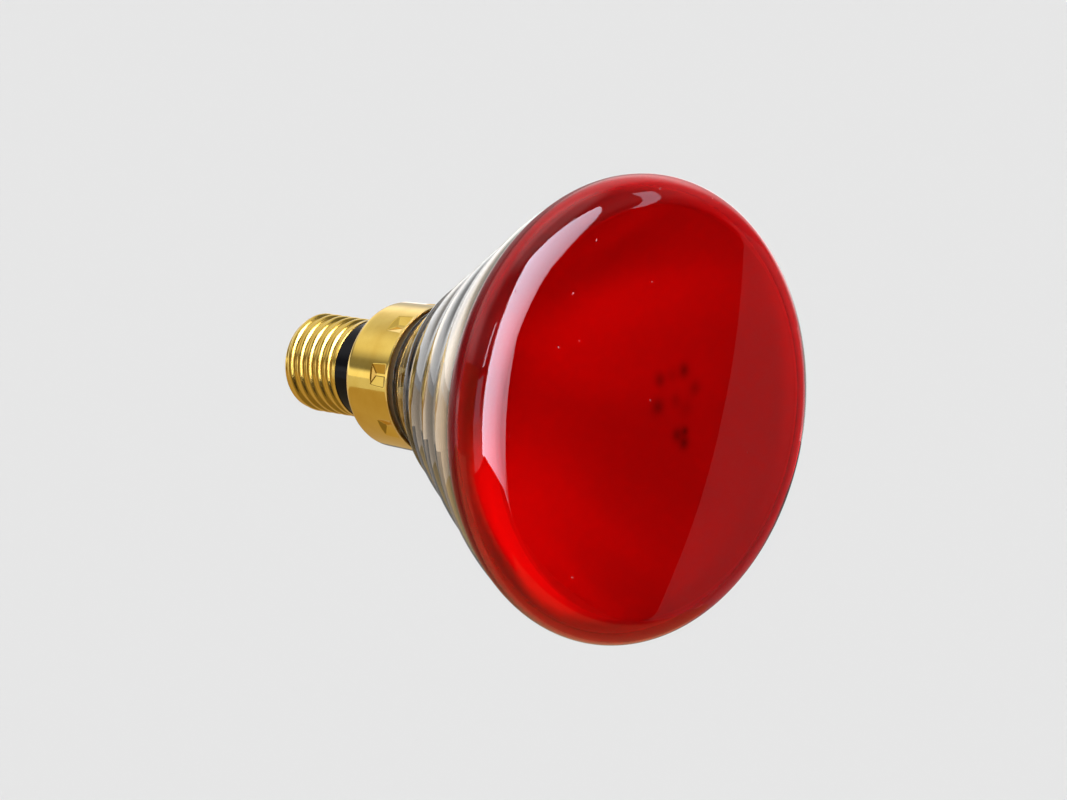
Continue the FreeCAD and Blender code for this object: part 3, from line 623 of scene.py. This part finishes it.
CLEAR_ROUGHNESS = (0.0, 0.03)
# The ground neck's warm brown colour is painted reflection of the brass skirt around it; its dullness
# is the ground glass's own.
NECK_BRASS_REFLECTION_COLOUR = (0.80, 0.54, 0.26, 1.0)
GROUND_ROUGHNESS = (0.40, 0.55)
GROUND_CLEARNESS = 0.65


def on_cone(height):
    """The point of the plain cone at a height."""
    return (CONE_START[0] + CONE_SLOPE * (height - CONE_START[1]), height)


def stake_radius(angle, height, depth):
    """Radius of the eight hip-roofed punch marks, a given depth inside their faces.

    Seen along the punch, the mark is a flat valley from which four planes rise at even
    slopes; the larger of the two rises counts, and the result is carried back to the axis.
    """
    cell = 2 * math.pi / STAKE_COUNT
    aside = (angle - STAKE_TURN + cell / 2) % cell - cell / 2
    across = np.abs(SKIRT_FRONT_RADIUS * np.sin(aside))
    along = np.abs(height - STAKE_HEIGHT)
    rises = [(reach - valley / 2) * 2 * STAKE_DEPTH / (full - valley)
             for reach, valley, full in zip((across, along), STAKE_VALLEY, STAKE_SIZE)]
    rise = np.maximum(np.maximum(rises[0], rises[1]), 0.0)
    return (SKIRT_FRONT_RADIUS - STAKE_DEPTH - depth + rise) / np.cos(aside)


def on_neck(radius, height):
    """Whether points lie on the outside of the neck."""
    return (radius > NECK_RADIUS - NECK_MARGIN) & (height < NECK_END_HEIGHT)


def press_neck(angle, radius, height):
    """Recesses for the skirt's stakes: the smaller of both radii, on the outside of the neck only."""
    neck = on_neck(radius, height)
    recess = stake_radius(angle, height, SKIRT_WALL + STAKE_FIT)
    return np.where(neck, np.minimum(radius, recess), radius)


def bowl_profile():
    """Outside from the tip by the heel, neck and bands to the seal, then inside to the floor.

    Finishes by row: 0 clear, 1 ground.
    """
    bead_front = BEAD_BACK_HEIGHT + BEAD_LENGTH
    heights = np.linspace(bead_front, SEAL_HEIGHT, BAND_COUNT + 1)
    bands = [bend(on_cone(low), on_cone(high), BAND_ROUND, LEFT, 12)
             for low, high in zip(heights, heights[1:])]
    tip_side = (PUMP_TIP_RADIUS, PUMP_TIP_HEIGHT + PUMP_TIP_RADIUS)
    recess = (FLOOR_RADIUS - HEEL_DRAFT, FLOOR_BACK_HEIGHT)
    ledge = np.array(CONE_START) - (NECK_RADIUS, NECK_END_HEIGHT)
    ledge_start = CONE_START - ledge / np.hypot(*ledge) * LEDGE_TRIM
    ledge_end = on_cone(CONE_START[1] + 2 * LEDGE_TRIM)
    path = np.concatenate((
        bend((0.0, PUMP_TIP_HEIGHT), tip_side, PUMP_TIP_RADIUS, LEFT, 8),
        straight(tip_side, (PUMP_TIP_RADIUS, FLOOR_BACK_HEIGHT), 1),
        straight((PUMP_TIP_RADIUS, FLOOR_BACK_HEIGHT), recess, 3),
        straight(recess, (HEEL_RECESS_RADIUS, HEEL_HEIGHT), 3),
        straight((HEEL_RECESS_RADIUS, HEEL_HEIGHT), (NECK_RADIUS, HEEL_HEIGHT), 2),
        straight((NECK_RADIUS, HEEL_HEIGHT), (NECK_RADIUS, NECK_END_HEIGHT), 40),
        straight((NECK_RADIUS, NECK_END_HEIGHT), ledge_start, 2),
        bend(ledge_start, ledge_end, LEDGE_ROUND, LEFT, 10),
        straight(ledge_end, on_cone(BEAD_BACK_HEIGHT), 8),
        bend(on_cone(BEAD_BACK_HEIGHT), on_cone(bead_front), BEAD_ROUND, LEFT, 14),
        *bands,
        straight((SEAL_RADIUS, SEAL_HEIGHT), (SEAL_INNER_RADIUS, SEAL_HEIGHT), 3),
        bend((SEAL_INNER_RADIUS, SEAL_HEIGHT), MIRROR_START, MIRROR_ROUND, RIGHT, 40),
        straight(MIRROR_START, (FLOOR_RADIUS, FLOOR_HEIGHT), 6),
        straight((FLOOR_RADIUS, FLOOR_HEIGHT), (0.0, FLOOR_HEIGHT), 6),
        [(0.0, FLOOR_HEIGHT)],
    ))
    return path, on_neck(*path.T)


def pressed_glass(name, colour, rough, clear=1.0):
    """Pressed glass with faint mould waves around it."""
    material, tree, shader, place = principled(
        name, Base_Color=colour, Transmission_Weight=clear, IOR=GLASS_IOR)
    wave = noise(tree, place, scale=60.0, detail=2.0, stretch=(0.25, 1.0, 0.25))
    tree.links.new(between(tree, wave, *rough), shader.inputs["Roughness"])
    bump(tree, shader, wave, strength=0.15, distance=0.0004)
    return material


clear_glass = pressed_glass("bowl_glass", CLEAR_COLOUR, CLEAR_ROUGHNESS)
ground_glass = pressed_glass("neck_glass", NECK_BRASS_REFLECTION_COLOUR, GROUND_ROUGHNESS, GROUND_CLEARNESS)
profile, finishes = bowl_profile()
bowl = turned("bowl_glass", profile, columns=320, press=press_neck, finishes=finishes)
dress(bowl, "reflector_bowl", "clear_glass", clear_glass, ground_glass)

# Mirror: a film of aluminium laid on the inside of the cone from vapour, bright in front and warmer
# seen through the glass, thin and brown at its narrow end. It laps over the bowl's edge at the seal.
# It lies on the glass with no gap, so its outer face is drawn a hair inside the glass.
MIRROR_FILM = 0.2
MIRROR_BITE = 0.04
LAP_SHORT = 0.4
LAP_UNDER = 0.08
LAP_OVER = 0.02
FILM_BACK_SHADES = ((0.59, 0.50, 0.39, 1.0), (0.67, 0.57, 0.45, 1.0))
FILM_FRONT_SHADES = ((0.88, 0.88, 0.87, 1.0), (0.93, 0.93, 0.92, 1.0))
THIN_FILM_SHADES = ((0.16, 0.11, 0.07, 1.0), (0.30, 0.21, 0.13, 1.0))


def mirror_profile():
    """The cone's inner curve twice: a hair into the glass, and one film inside it.

    Finishes by row: 0 back, 1 thin end of the back, 2 front.
    """
    foot = np.array((FLOOR_RADIUS, FLOOR_HEIGHT))
    start, end = np.array(MIRROR_START), np.array((SEAL_INNER_RADIUS, SEAL_HEIGHT))
    out, inward = np.array((MIRROR_BITE, 0.0)), np.array((-MIRROR_FILM, 0.0))
    lap = np.array((SEAL_RADIUS - LAP_SHORT, SEAL_HEIGHT))
    below, above = np.array((0.0, -LAP_UNDER)), np.array((0.0, -LAP_OVER))
    back = np.concatenate((
        straight(foot + out, start + out, 6),
        bend(start + out, end + out + below, MIRROR_ROUND, LEFT, 40),
        straight(end + out + below, lap + below, 3),
    ))
    path = np.concatenate((
        back,
        [lap + below],
        straight(lap + above, end + inward + above, 3),
        bend(end + inward + above, start + inward, MIRROR_ROUND, RIGHT, 40),
        straight(start + inward, foot + inward, 6),
        [foot + inward],
    ))
    front = np.arange(len(path)) >= len(back)
    return path, np.where(front, 2, path[:, 1] < MIRROR_START[1])


def mirror_metal(name, shades, rough):
    """Vapour-laid aluminium, slightly cloudy in places."""
    material, tree, shader, place = principled(name, Metallic=1.0)
    cloud = noise(tree, place, scale=45.0, detail=4.0)
    mottle(tree, shader, cloud, shades, rough)
    return material


film_back = mirror_metal("film_back", FILM_BACK_SHADES, rough=(0.08, 0.16))
thin_film = mirror_metal("thin_film", THIN_FILM_SHADES, rough=(0.20, 0.35))
film_front = mirror_metal("film_front", FILM_FRONT_SHADES, rough=(0.05, 0.10))
profile, finishes = mirror_profile()
mirror = turned("mirror_film", profile, finishes=finishes)
dress(mirror, "mirror_coating", "mirror_film", film_back, thin_film, film_front)

# Filament and its mount: a tungsten coil held by two stiff nickel posts, which stand in ferrules
# sealed through the glass floor. Two wires lead from the ferrules to the contact and the shell.
TUNGSTEN_SHADES = ((0.10, 0.10, 0.11, 1.0), (0.24, 0.24, 0.25, 1.0))
NICKEL_SHADES = ((0.46, 0.45, 0.43, 1.0), (0.62, 0.61, 0.58, 1.0))
ALLOY_SHADES = ((0.34, 0.33, 0.32, 1.0), (0.50, 0.49, 0.47, 1.0))
WIRE_SHADES = ((0.54, 0.52, 0.48, 1.0), (0.70, 0.68, 0.63, 1.0))


def drawn_metal(name, shades, rough, scale, stretch=None):
    """Metal with its drawing marks as fine streaks of tone and gloss."""
    material, tree, shader, place = principled(name, Metallic=1.0)
    streak = noise(tree, place, scale, detail=4.0, stretch=stretch)
    mottle(tree, shader, streak, shades, rough)
    bump(tree, shader, streak, strength=0.1, distance=0.0001)
    return material


tungsten = drawn_metal("tungsten", TUNGSTEN_SHADES, rough=(0.35, 0.5), scale=900.0)
nickel = drawn_metal("nickel", NICKEL_SHADES, rough=(0.18, 0.32), scale=700.0, stretch=(1.0, 0.1, 1.0))
sealing_alloy = drawn_metal("sealing_alloy", ALLOY_SHADES, rough=(0.3, 0.45), scale=500.0)
plated_wire = drawn_metal("plated_wire", WIRE_SHADES, rough=(0.2, 0.34), scale=800.0)
inner_metals = {
    "filament": tungsten,
    "left_post": nickel,
    "right_post": nickel,
    "left_ferrule": sealing_alloy,
    "right_ferrule": sealing_alloy,
    "contact_lead": plated_wire,
    "shell_lead": plated_wire,
}
for node, metal in inner_metals.items():
    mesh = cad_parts[node].data
    mesh.materials.clear()
    mesh.materials.append(metal)

# Skirt: a cup drawn from thin brass sheet, slipped over the neck and staked to the glass by eight
# hip-roofed punch marks near its flared lip. It is lacquered, with faint marks of the drawing die.
SKIRT_BACK_HEIGHT = 35.5
SKIRT_FRONT_HEIGHT = 53.5
SKIRT_BACK_RADIUS = 19.3
SKIRT_LIP_RADIUS = 20.0
SKIRT_LIP_LENGTH = 0.8
SKIRT_CORNER_ROUND = 2.6
SKIRT_HOLE_RADIUS = 11.6
LIP_ROUND = SKIRT_WALL / 2 * 1.05
LIP_FLATNESS = 0.3
STAKE_MARGIN = 1.03
BRASS_SHADES = ((0.84, 0.58, 0.12, 1.0), (0.76, 0.49, 0.08, 1.0))


def stake_columns(fine, coarse):
    """Angles around the skirt, close together over each punch mark and wide apart between."""
    cell = 2 * math.pi / STAKE_COUNT
    reach = math.asin(STAKE_SIZE[0] / 2 / SKIRT_FRONT_RADIUS) * STAKE_MARGIN
    one = np.concatenate((np.linspace(-reach, reach, fine, endpoint=False),
                          np.linspace(reach, cell - reach, coarse, endpoint=False)))
    return (STAKE_TURN + cell * np.arange(STAKE_COUNT)[:, None] + one).ravel()


def sheet_middle(height):
    """Radius of the middle of the sheet along the side of the skirt."""
    share = (height - SKIRT_BACK_HEIGHT) / (SKIRT_FRONT_HEIGHT - SKIRT_BACK_HEIGHT)
    return SKIRT_BACK_RADIUS + (SKIRT_FRONT_RADIUS - SKIRT_BACK_RADIUS) * share - SKIRT_WALL / 2


def press_skirt(angle, radius, height):
    """Sheet pushed in by the punch: the smaller of plain and punched radius, on both its faces."""
    depth = np.where(radius < sheet_middle(height), SKIRT_WALL, 0.0)
    side = height > SKIRT_BACK_HEIGHT + 2 * SKIRT_CORNER_ROUND
    return np.where(side, np.minimum(radius, stake_radius(angle, height, depth)), radius)


def skirt_profile():
    """Outside from the hole in the back over the corner to the lip, then inside back again."""
    corner_height = SKIRT_BACK_HEIGHT + SKIRT_CORNER_ROUND
    lip_height = SKIRT_FRONT_HEIGHT - SKIRT_LIP_LENGTH
    stake_height = STAKE_HEIGHT - STAKE_SIZE[1] / 2
    slope = (SKIRT_FRONT_RADIUS - SKIRT_BACK_RADIUS) / (lip_height - corner_height)
    stake_side = SKIRT_BACK_RADIUS + slope * (stake_height - corner_height)
    hole = np.array((SKIRT_HOLE_RADIUS, SKIRT_BACK_HEIGHT))
    corner_back = np.array((SKIRT_BACK_RADIUS - SKIRT_CORNER_ROUND, SKIRT_BACK_HEIGHT))
    corner_side = np.array((SKIRT_BACK_RADIUS, corner_height))
    stake_start = np.array((stake_side, stake_height))
    lip_start = np.array((SKIRT_FRONT_RADIUS, lip_height))
    lip_end = np.array((SKIRT_LIP_RADIUS, SKIRT_FRONT_HEIGHT))
    wall = np.array((SKIRT_WALL, 0.0))
    back = np.array((0.0, SKIRT_WALL))
    lip = bend(lip_end, lip_end - wall, LIP_ROUND, LEFT, 6)
    lip[:, 1] = SKIRT_FRONT_HEIGHT + (lip[:, 1] - SKIRT_FRONT_HEIGHT) * LIP_FLATNESS
    return np.concatenate((
        straight(hole, corner_back, 4),
        bend(corner_back, corner_side, SKIRT_CORNER_ROUND, LEFT, 10),
        straight(corner_side, stake_start, 6),
        straight(stake_start, lip_start, 32),
        straight(lip_start, lip_end, 4),
        lip,
        straight(lip_end - wall, lip_start - wall, 4),
        straight(lip_start - wall, stake_start - wall, 32),
        straight(stake_start - wall, corner_side - wall, 6),
        bend(corner_side - wall, corner_back + back, SKIRT_CORNER_ROUND - SKIRT_WALL, RIGHT, 10),
        straight(corner_back + back, hole + back, 4),
        [hole + back],
    ))


def lacquered_brass(name, rough):
    """Bright rolled brass under clear lacquer, with rings left by the die and a few dull spots."""
    material, tree, shader, place = principled(
        name, Metallic=1.0, Coat_Weight=0.15, Coat_Roughness=0.06, Coat_IOR=1.45)
    ring = noise(tree, place, scale=700.0, stretch=(0.04, 1.0, 0.04))
    spot = noise(tree, place, scale=160.0, detail=5.0)
    tone = blend_colour(tree, between(tree, spot, 0.0, 1.0, low=0.35), *BRASS_SHADES)
    tree.links.new(tone, shader.inputs["Base Color"])
    tree.links.new(between(tree, ring, *rough), shader.inputs["Roughness"])
    bump(tree, shader, ring, strength=0.06, distance=0.00008)
    return material


brass = lacquered_brass("lacquered_brass", rough=(0.05, 0.11))
columns = stake_columns(fine=44, coarse=10)
skirt = turned("brass_skirt", skirt_profile(), columns=columns, press=press_skirt)
dress(skirt, "skirt", "brass", brass)

# Insulating ring: a glossy black collar moulded between the skirt and the screw shell, with a
# flange that clamps the skirt's back and a spigot in the shell's mouth.
RING_RADIUS = 13.0
RING_BORE = 6.0
RING_FLANGE_RADIUS = 16.0
RING_EDGE = 0.35
RING_CHAMFER = 0.1
RING_FIT = 0.02
BLACK_COLOUR = (0.004, 0.004, 0.006, 1.0)
SHELL_FRONT_HEIGHT = 25.5
SPIGOT_HEIGHT = 24.5
LAND_RADIUS = 13.2
SHELL_WALL = 0.35


def ring_profile():
    """Bore, spigot, collar with eased edges, waist in the skirt's hole, and flange."""
    spigot = LAND_RADIUS - SHELL_WALL - RING_FIT
    collar, collar_height = RING_RADIUS - RING_CHAMFER, SHELL_FRONT_HEIGHT + RING_CHAMFER
    edge, edge_height = RING_RADIUS - RING_EDGE, SKIRT_BACK_HEIGHT - RING_EDGE
    inner = SKIRT_BACK_HEIGHT + SKIRT_WALL
    return np.concatenate((
        straight((RING_BORE, SPIGOT_HEIGHT), (spigot, SPIGOT_HEIGHT), 3),
        straight((spigot, SPIGOT_HEIGHT), (spigot, SHELL_FRONT_HEIGHT), 2),
        straight((spigot, SHELL_FRONT_HEIGHT), (collar, SHELL_FRONT_HEIGHT), 1),
        straight((collar, SHELL_FRONT_HEIGHT), (RING_RADIUS, collar_height), 1),
        straight((RING_RADIUS, collar_height), (RING_RADIUS, edge_height), 6),
        bend((RING_RADIUS, edge_height), (edge, SKIRT_BACK_HEIGHT), RING_EDGE, LEFT, 5),
        straight((edge, SKIRT_BACK_HEIGHT), (SKIRT_HOLE_RADIUS, SKIRT_BACK_HEIGHT), 2),
        straight((SKIRT_HOLE_RADIUS, SKIRT_BACK_HEIGHT), (SKIRT_HOLE_RADIUS, inner), 2),
        straight((SKIRT_HOLE_RADIUS, inner), (RING_FLANGE_RADIUS, inner), 3),
        straight((RING_FLANGE_RADIUS, inner), (RING_FLANGE_RADIUS, HEEL_HEIGHT), 3),
        straight((RING_FLANGE_RADIUS, HEEL_HEIGHT), (RING_BORE, HEEL_HEIGHT), 4),
        straight((RING_BORE, HEEL_HEIGHT), (RING_BORE, SPIGOT_HEIGHT), 4),
    ))


def black_glass():
    """Glossy black moulding with a faint ripple and dust-dull patches."""
    material, tree, shader, place = principled(
        "black_glass", Base_Color=BLACK_COLOUR, IOR=1.35, Specular_IOR_Level=0.2)
    ripple = noise(tree, place, scale=220.0)
    tree.links.new(between(tree, ripple, 0.08, 0.18), shader.inputs["Roughness"])
    bump(tree, shader, ripple, strength=0.06, distance=0.0003)
    return material


black = black_glass()
ring = turned("black_ring", ring_profile(), columns=192)
dress(ring, "insulating_ring", "black_insulator", black)

# Screw shell: thin brass sheet rolled into a round thread, with a rolled-in end towards the
# contact and a plain land at its mouth. The shell lead is welded inside it.
SHELL_BACK_HEIGHT = 4.4
SHELL_END_ROUND = 2.2
CREST_RADIUS = 13.12
LAND_LENGTH = 1.2
LAND_EASE = 0.15
MOUTH_EDGE = 0.08
THREAD_PITCH = 3.629
THREAD_DEPTH = 1.0
THREAD_CREST_HEIGHT = 21.65
THREAD_RUNOUT = 1.6
THREAD_START_HEIGHT = 5.0
THREAD_END_HEIGHT = 24.5


def thread_dip(along, wall):
    """How far a rolled round thread lies below its crests, at a distance along one pitch.

    Crest and root are arcs of one radius that meet on the flank; wall moves the curve to the
    inner face of the sheet, square to the surface.
    """
    radius = (THREAD_PITCH ** 2 / 4 + THREAD_DEPTH ** 2) / (4 * THREAD_DEPTH)
    from_crest = np.abs((along / THREAD_PITCH + 0.5) % 1.0 - 0.5) * THREAD_PITCH
    from_root = THREAD_PITCH / 2 - from_crest
    crest = radius - np.sqrt(np.maximum((radius - wall) ** 2 - from_crest ** 2, 0.0))
    root = THREAD_DEPTH - radius + np.sqrt(np.maximum((radius + wall) ** 2 - from_root ** 2, 0.0))
    return np.where(from_crest <= THREAD_PITCH / 4 * (radius - wall) / radius, crest, root)


def ease(value):
    """Eases from 0 to 1 with no corner at either end: three squares less two cubes."""
    value = np.clip(value, 0.0, 1.0)
    return value * value * (3 - 2 * value)


def shell_profile():
    """Outer skin from the rolled end to the land, then the inner skin back again.

    Also tells which rows lie on the inner skin.
    """
    centre = SHELL_BACK_HEIGHT + SHELL_END_ROUND
    land_back = SHELL_FRONT_HEIGHT - LAND_LENGTH
    lip = CREST_RADIUS - SHELL_END_ROUND
    lip_inner = (lip, SHELL_BACK_HEIGHT + SHELL_WALL)
    land_start = (LAND_RADIUS, land_back + LAND_EASE)
    mouth_side = (LAND_RADIUS, SHELL_FRONT_HEIGHT - MOUTH_EDGE)
    mouth = (LAND_RADIUS - MOUTH_EDGE, SHELL_FRONT_HEIGHT)
    land_inner, crest_inner = LAND_RADIUS - SHELL_WALL, CREST_RADIUS - SHELL_WALL
    outer = np.concatenate((
        bend((lip, SHELL_BACK_HEIGHT), (CREST_RADIUS, centre), SHELL_END_ROUND, LEFT, 10),
        straight((CREST_RADIUS, centre), (CREST_RADIUS, land_back), 104),
        straight((CREST_RADIUS, land_back), land_start, 2),
        straight(land_start, mouth_side, 4),
        straight(mouth_side, mouth, 1),
        [mouth],
    ))
    inner = np.concatenate((
        straight((land_inner, SHELL_FRONT_HEIGHT), (land_inner, THREAD_END_HEIGHT), 3),
        straight((crest_inner, THREAD_END_HEIGHT), (crest_inner, centre), 104),
        bend((crest_inner, centre), lip_inner, SHELL_END_ROUND - SHELL_WALL, RIGHT, 10),
        [lip_inner],
    ))
    return np.concatenate((outer, inner)), np.arange(len(outer) + len(inner)) >= len(outer)


profile, inner_rows = shell_profile()


def press_thread(angle, radius, height):
    """Lowers the plain skin by the thread, which climbs a pitch each turn and fades at both ends."""
    fade = ease((height - THREAD_START_HEIGHT) / THREAD_RUNOUT)
    fade = fade * ease((THREAD_END_HEIGHT - height) / THREAD_RUNOUT)
    along = height - THREAD_CREST_HEIGHT - THREAD_PITCH * (angle / (2 * math.pi) - 0.5)
    wall = np.where(inner_rows[:, None], SHELL_WALL, 0.0)
    return radius - fade * (thread_dip(along, wall) - wall)


shell = turned("brass_shell", profile, columns=240, press=press_thread)
rolled_brass = lacquered_brass("rolled_brass", rough=(0.14, 0.22))
dress(shell, "screw_shell", "brass", rolled_brass)

# Base insulator: black glass poured into the end of the screw shell, a cone with hollow sides and a
# flat seat for the contact. The shell's rolled-in end holds it, and the contact lead runs through it.
CONTACT_SEAT_HEIGHT = 1.4
NOSE_RADIUS = 6.3
NOSE_EDGE = 0.3
NOSE_HOLLOW_ROUND = 18.0
PLUG_FIT = 0.03
PLUG_STEP = (0.65, 0.6)
PLUG_LIP = 0.1
PLUG_END_HEIGHT = 8.5
LEAD_RADIUS = 0.5
LEAD_FIT = 0.05


def plug_profile():
    """Lead hole, flat under the contact, hollow cone to the shell's lip, plug inside the shell."""
    lip = CREST_RADIUS - SHELL_END_ROUND - PLUG_FIT
    hole = LEAD_RADIUS + LEAD_FIT
    plug, step_height = lip + PLUG_STEP[0], SHELL_BACK_HEIGHT + PLUG_STEP[1]
    nose_flat, nose_height = NOSE_RADIUS - NOSE_EDGE, CONTACT_SEAT_HEIGHT + NOSE_EDGE
    lip_height = SHELL_BACK_HEIGHT + PLUG_LIP
    lip_end_height = SHELL_BACK_HEIGHT + SHELL_WALL + PLUG_FIT
    return np.concatenate((
        straight((hole, CONTACT_SEAT_HEIGHT), (nose_flat, CONTACT_SEAT_HEIGHT), 3),
        bend((nose_flat, CONTACT_SEAT_HEIGHT), (NOSE_RADIUS, nose_height), NOSE_EDGE, LEFT, 4),
        bend((NOSE_RADIUS, nose_height), (lip, lip_height), NOSE_HOLLOW_ROUND, RIGHT, 14),
        straight((lip, lip_height), (lip, lip_end_height), 2),
        straight((lip, lip_end_height), (plug, step_height), 2),
        straight((plug, step_height), (plug, PLUG_END_HEIGHT), 3),
        straight((plug, PLUG_END_HEIGHT), (hole, PLUG_END_HEIGHT), 3),
        straight((hole, PLUG_END_HEIGHT), (hole, CONTACT_SEAT_HEIGHT), 3),
    ))


plug = turned("black_plug", plug_profile(), columns=192)
dress(plug, "base_insulator", "black_insulator", black)

# Centre contact: a flat eyelet pressed from brass sheet, with a rounded edge. It is set into the
# black glass while that is soft, and lies flat on its seat.
CONTACT_FACE_HEIGHT = 0.6
CONTACT_RADIUS = 5.2
CONTACT_EDGE = 0.4
CONTACT_HOLE_RADIUS = 1.5


def contact_profile():
    """Flat eyelet ring with a rounded outer edge."""
    flat = (CONTACT_RADIUS - CONTACT_EDGE, CONTACT_FACE_HEIGHT)
    side = (CONTACT_RADIUS, CONTACT_FACE_HEIGHT + CONTACT_EDGE)
    seat = (CONTACT_RADIUS, CONTACT_SEAT_HEIGHT)
    hole_seat = (CONTACT_HOLE_RADIUS, CONTACT_SEAT_HEIGHT)
    hole_face = (CONTACT_HOLE_RADIUS, CONTACT_FACE_HEIGHT)
    return np.concatenate((
        straight(hole_face, flat, 4),
        bend(flat, side, CONTACT_EDGE, LEFT, 6),
        straight(side, seat, 2),
        straight(seat, hole_seat, 3),
        straight(hole_seat, hole_face, 2),
    ))


contact = turned("brass_contact", contact_profile(), columns=128)
dress(contact, "center_contact", "brass", brass)

# Contact solder: a button of soft solder that closes the eyelet's hole around the end of the lead.
# It ran a little to one side before it set.
SOLDER_RADIUS = 2.6
SOLDER_FIT = (0.02, 0.01)
SOLDER_SHARE = 0.95
SOLDER_OVAL = 0.05
SOLDER_TURN = 0.7
SOLDER_RIPPLE = 0.03
SOLDER_SHADES = ((0.50, 0.50, 0.51, 1.0), (0.68, 0.68, 0.69, 1.0))
SOLDER_ROUGHNESS = (0.28, 0.46)


def solder_profile():
    """Low dome over the eyelet's hole and the plug of solder in the hole."""
    round_radius = (SOLDER_RADIUS ** 2 + CONTACT_FACE_HEIGHT ** 2) / (2 * CONTACT_FACE_HEIGHT)
    hole, face = CONTACT_HOLE_RADIUS - SOLDER_FIT[0], CONTACT_FACE_HEIGHT - SOLDER_FIT[1]
    return np.concatenate((
        bend((0.0, 0.0), (SOLDER_RADIUS, face), round_radius, LEFT, 16),
        straight((SOLDER_RADIUS, face), (hole, face), 3),
        straight((hole, face), (hole, CONTACT_SEAT_HEIGHT), 2),
        straight((hole, CONTACT_SEAT_HEIGHT), (0.0, CONTACT_SEAT_HEIGHT), 3),
        [(0.0, CONTACT_SEAT_HEIGHT)],
    ))


def press_solder(angle, radius, height):
    """Lopsided button: its radius swings in a wave of two lobes and a smaller one of five."""
    wobble = 1 + SOLDER_OVAL * np.cos(2 * angle + SOLDER_TURN) + SOLDER_RIPPLE * np.cos(5 * angle)
    return np.where(height < CONTACT_FACE_HEIGHT, radius * wobble * SOLDER_SHARE, radius)


def soft_solder():
    """Tin solder, silvery and finely crystalline, dulled by handling."""
    material, tree, shader, place = principled("soft_solder", Metallic=1.0)
    grain = noise(tree, place, scale=900.0, detail=5.0)
    mottle(tree, shader, grain, SOLDER_SHADES, SOLDER_ROUGHNESS)
    bump(tree, shader, grain, strength=0.25, distance=0.0002)
    return material


solder = turned("solder_button", solder_profile(), columns=96, press=press_solder)
dress(solder, "contact_solder", "solder", soft_solder())
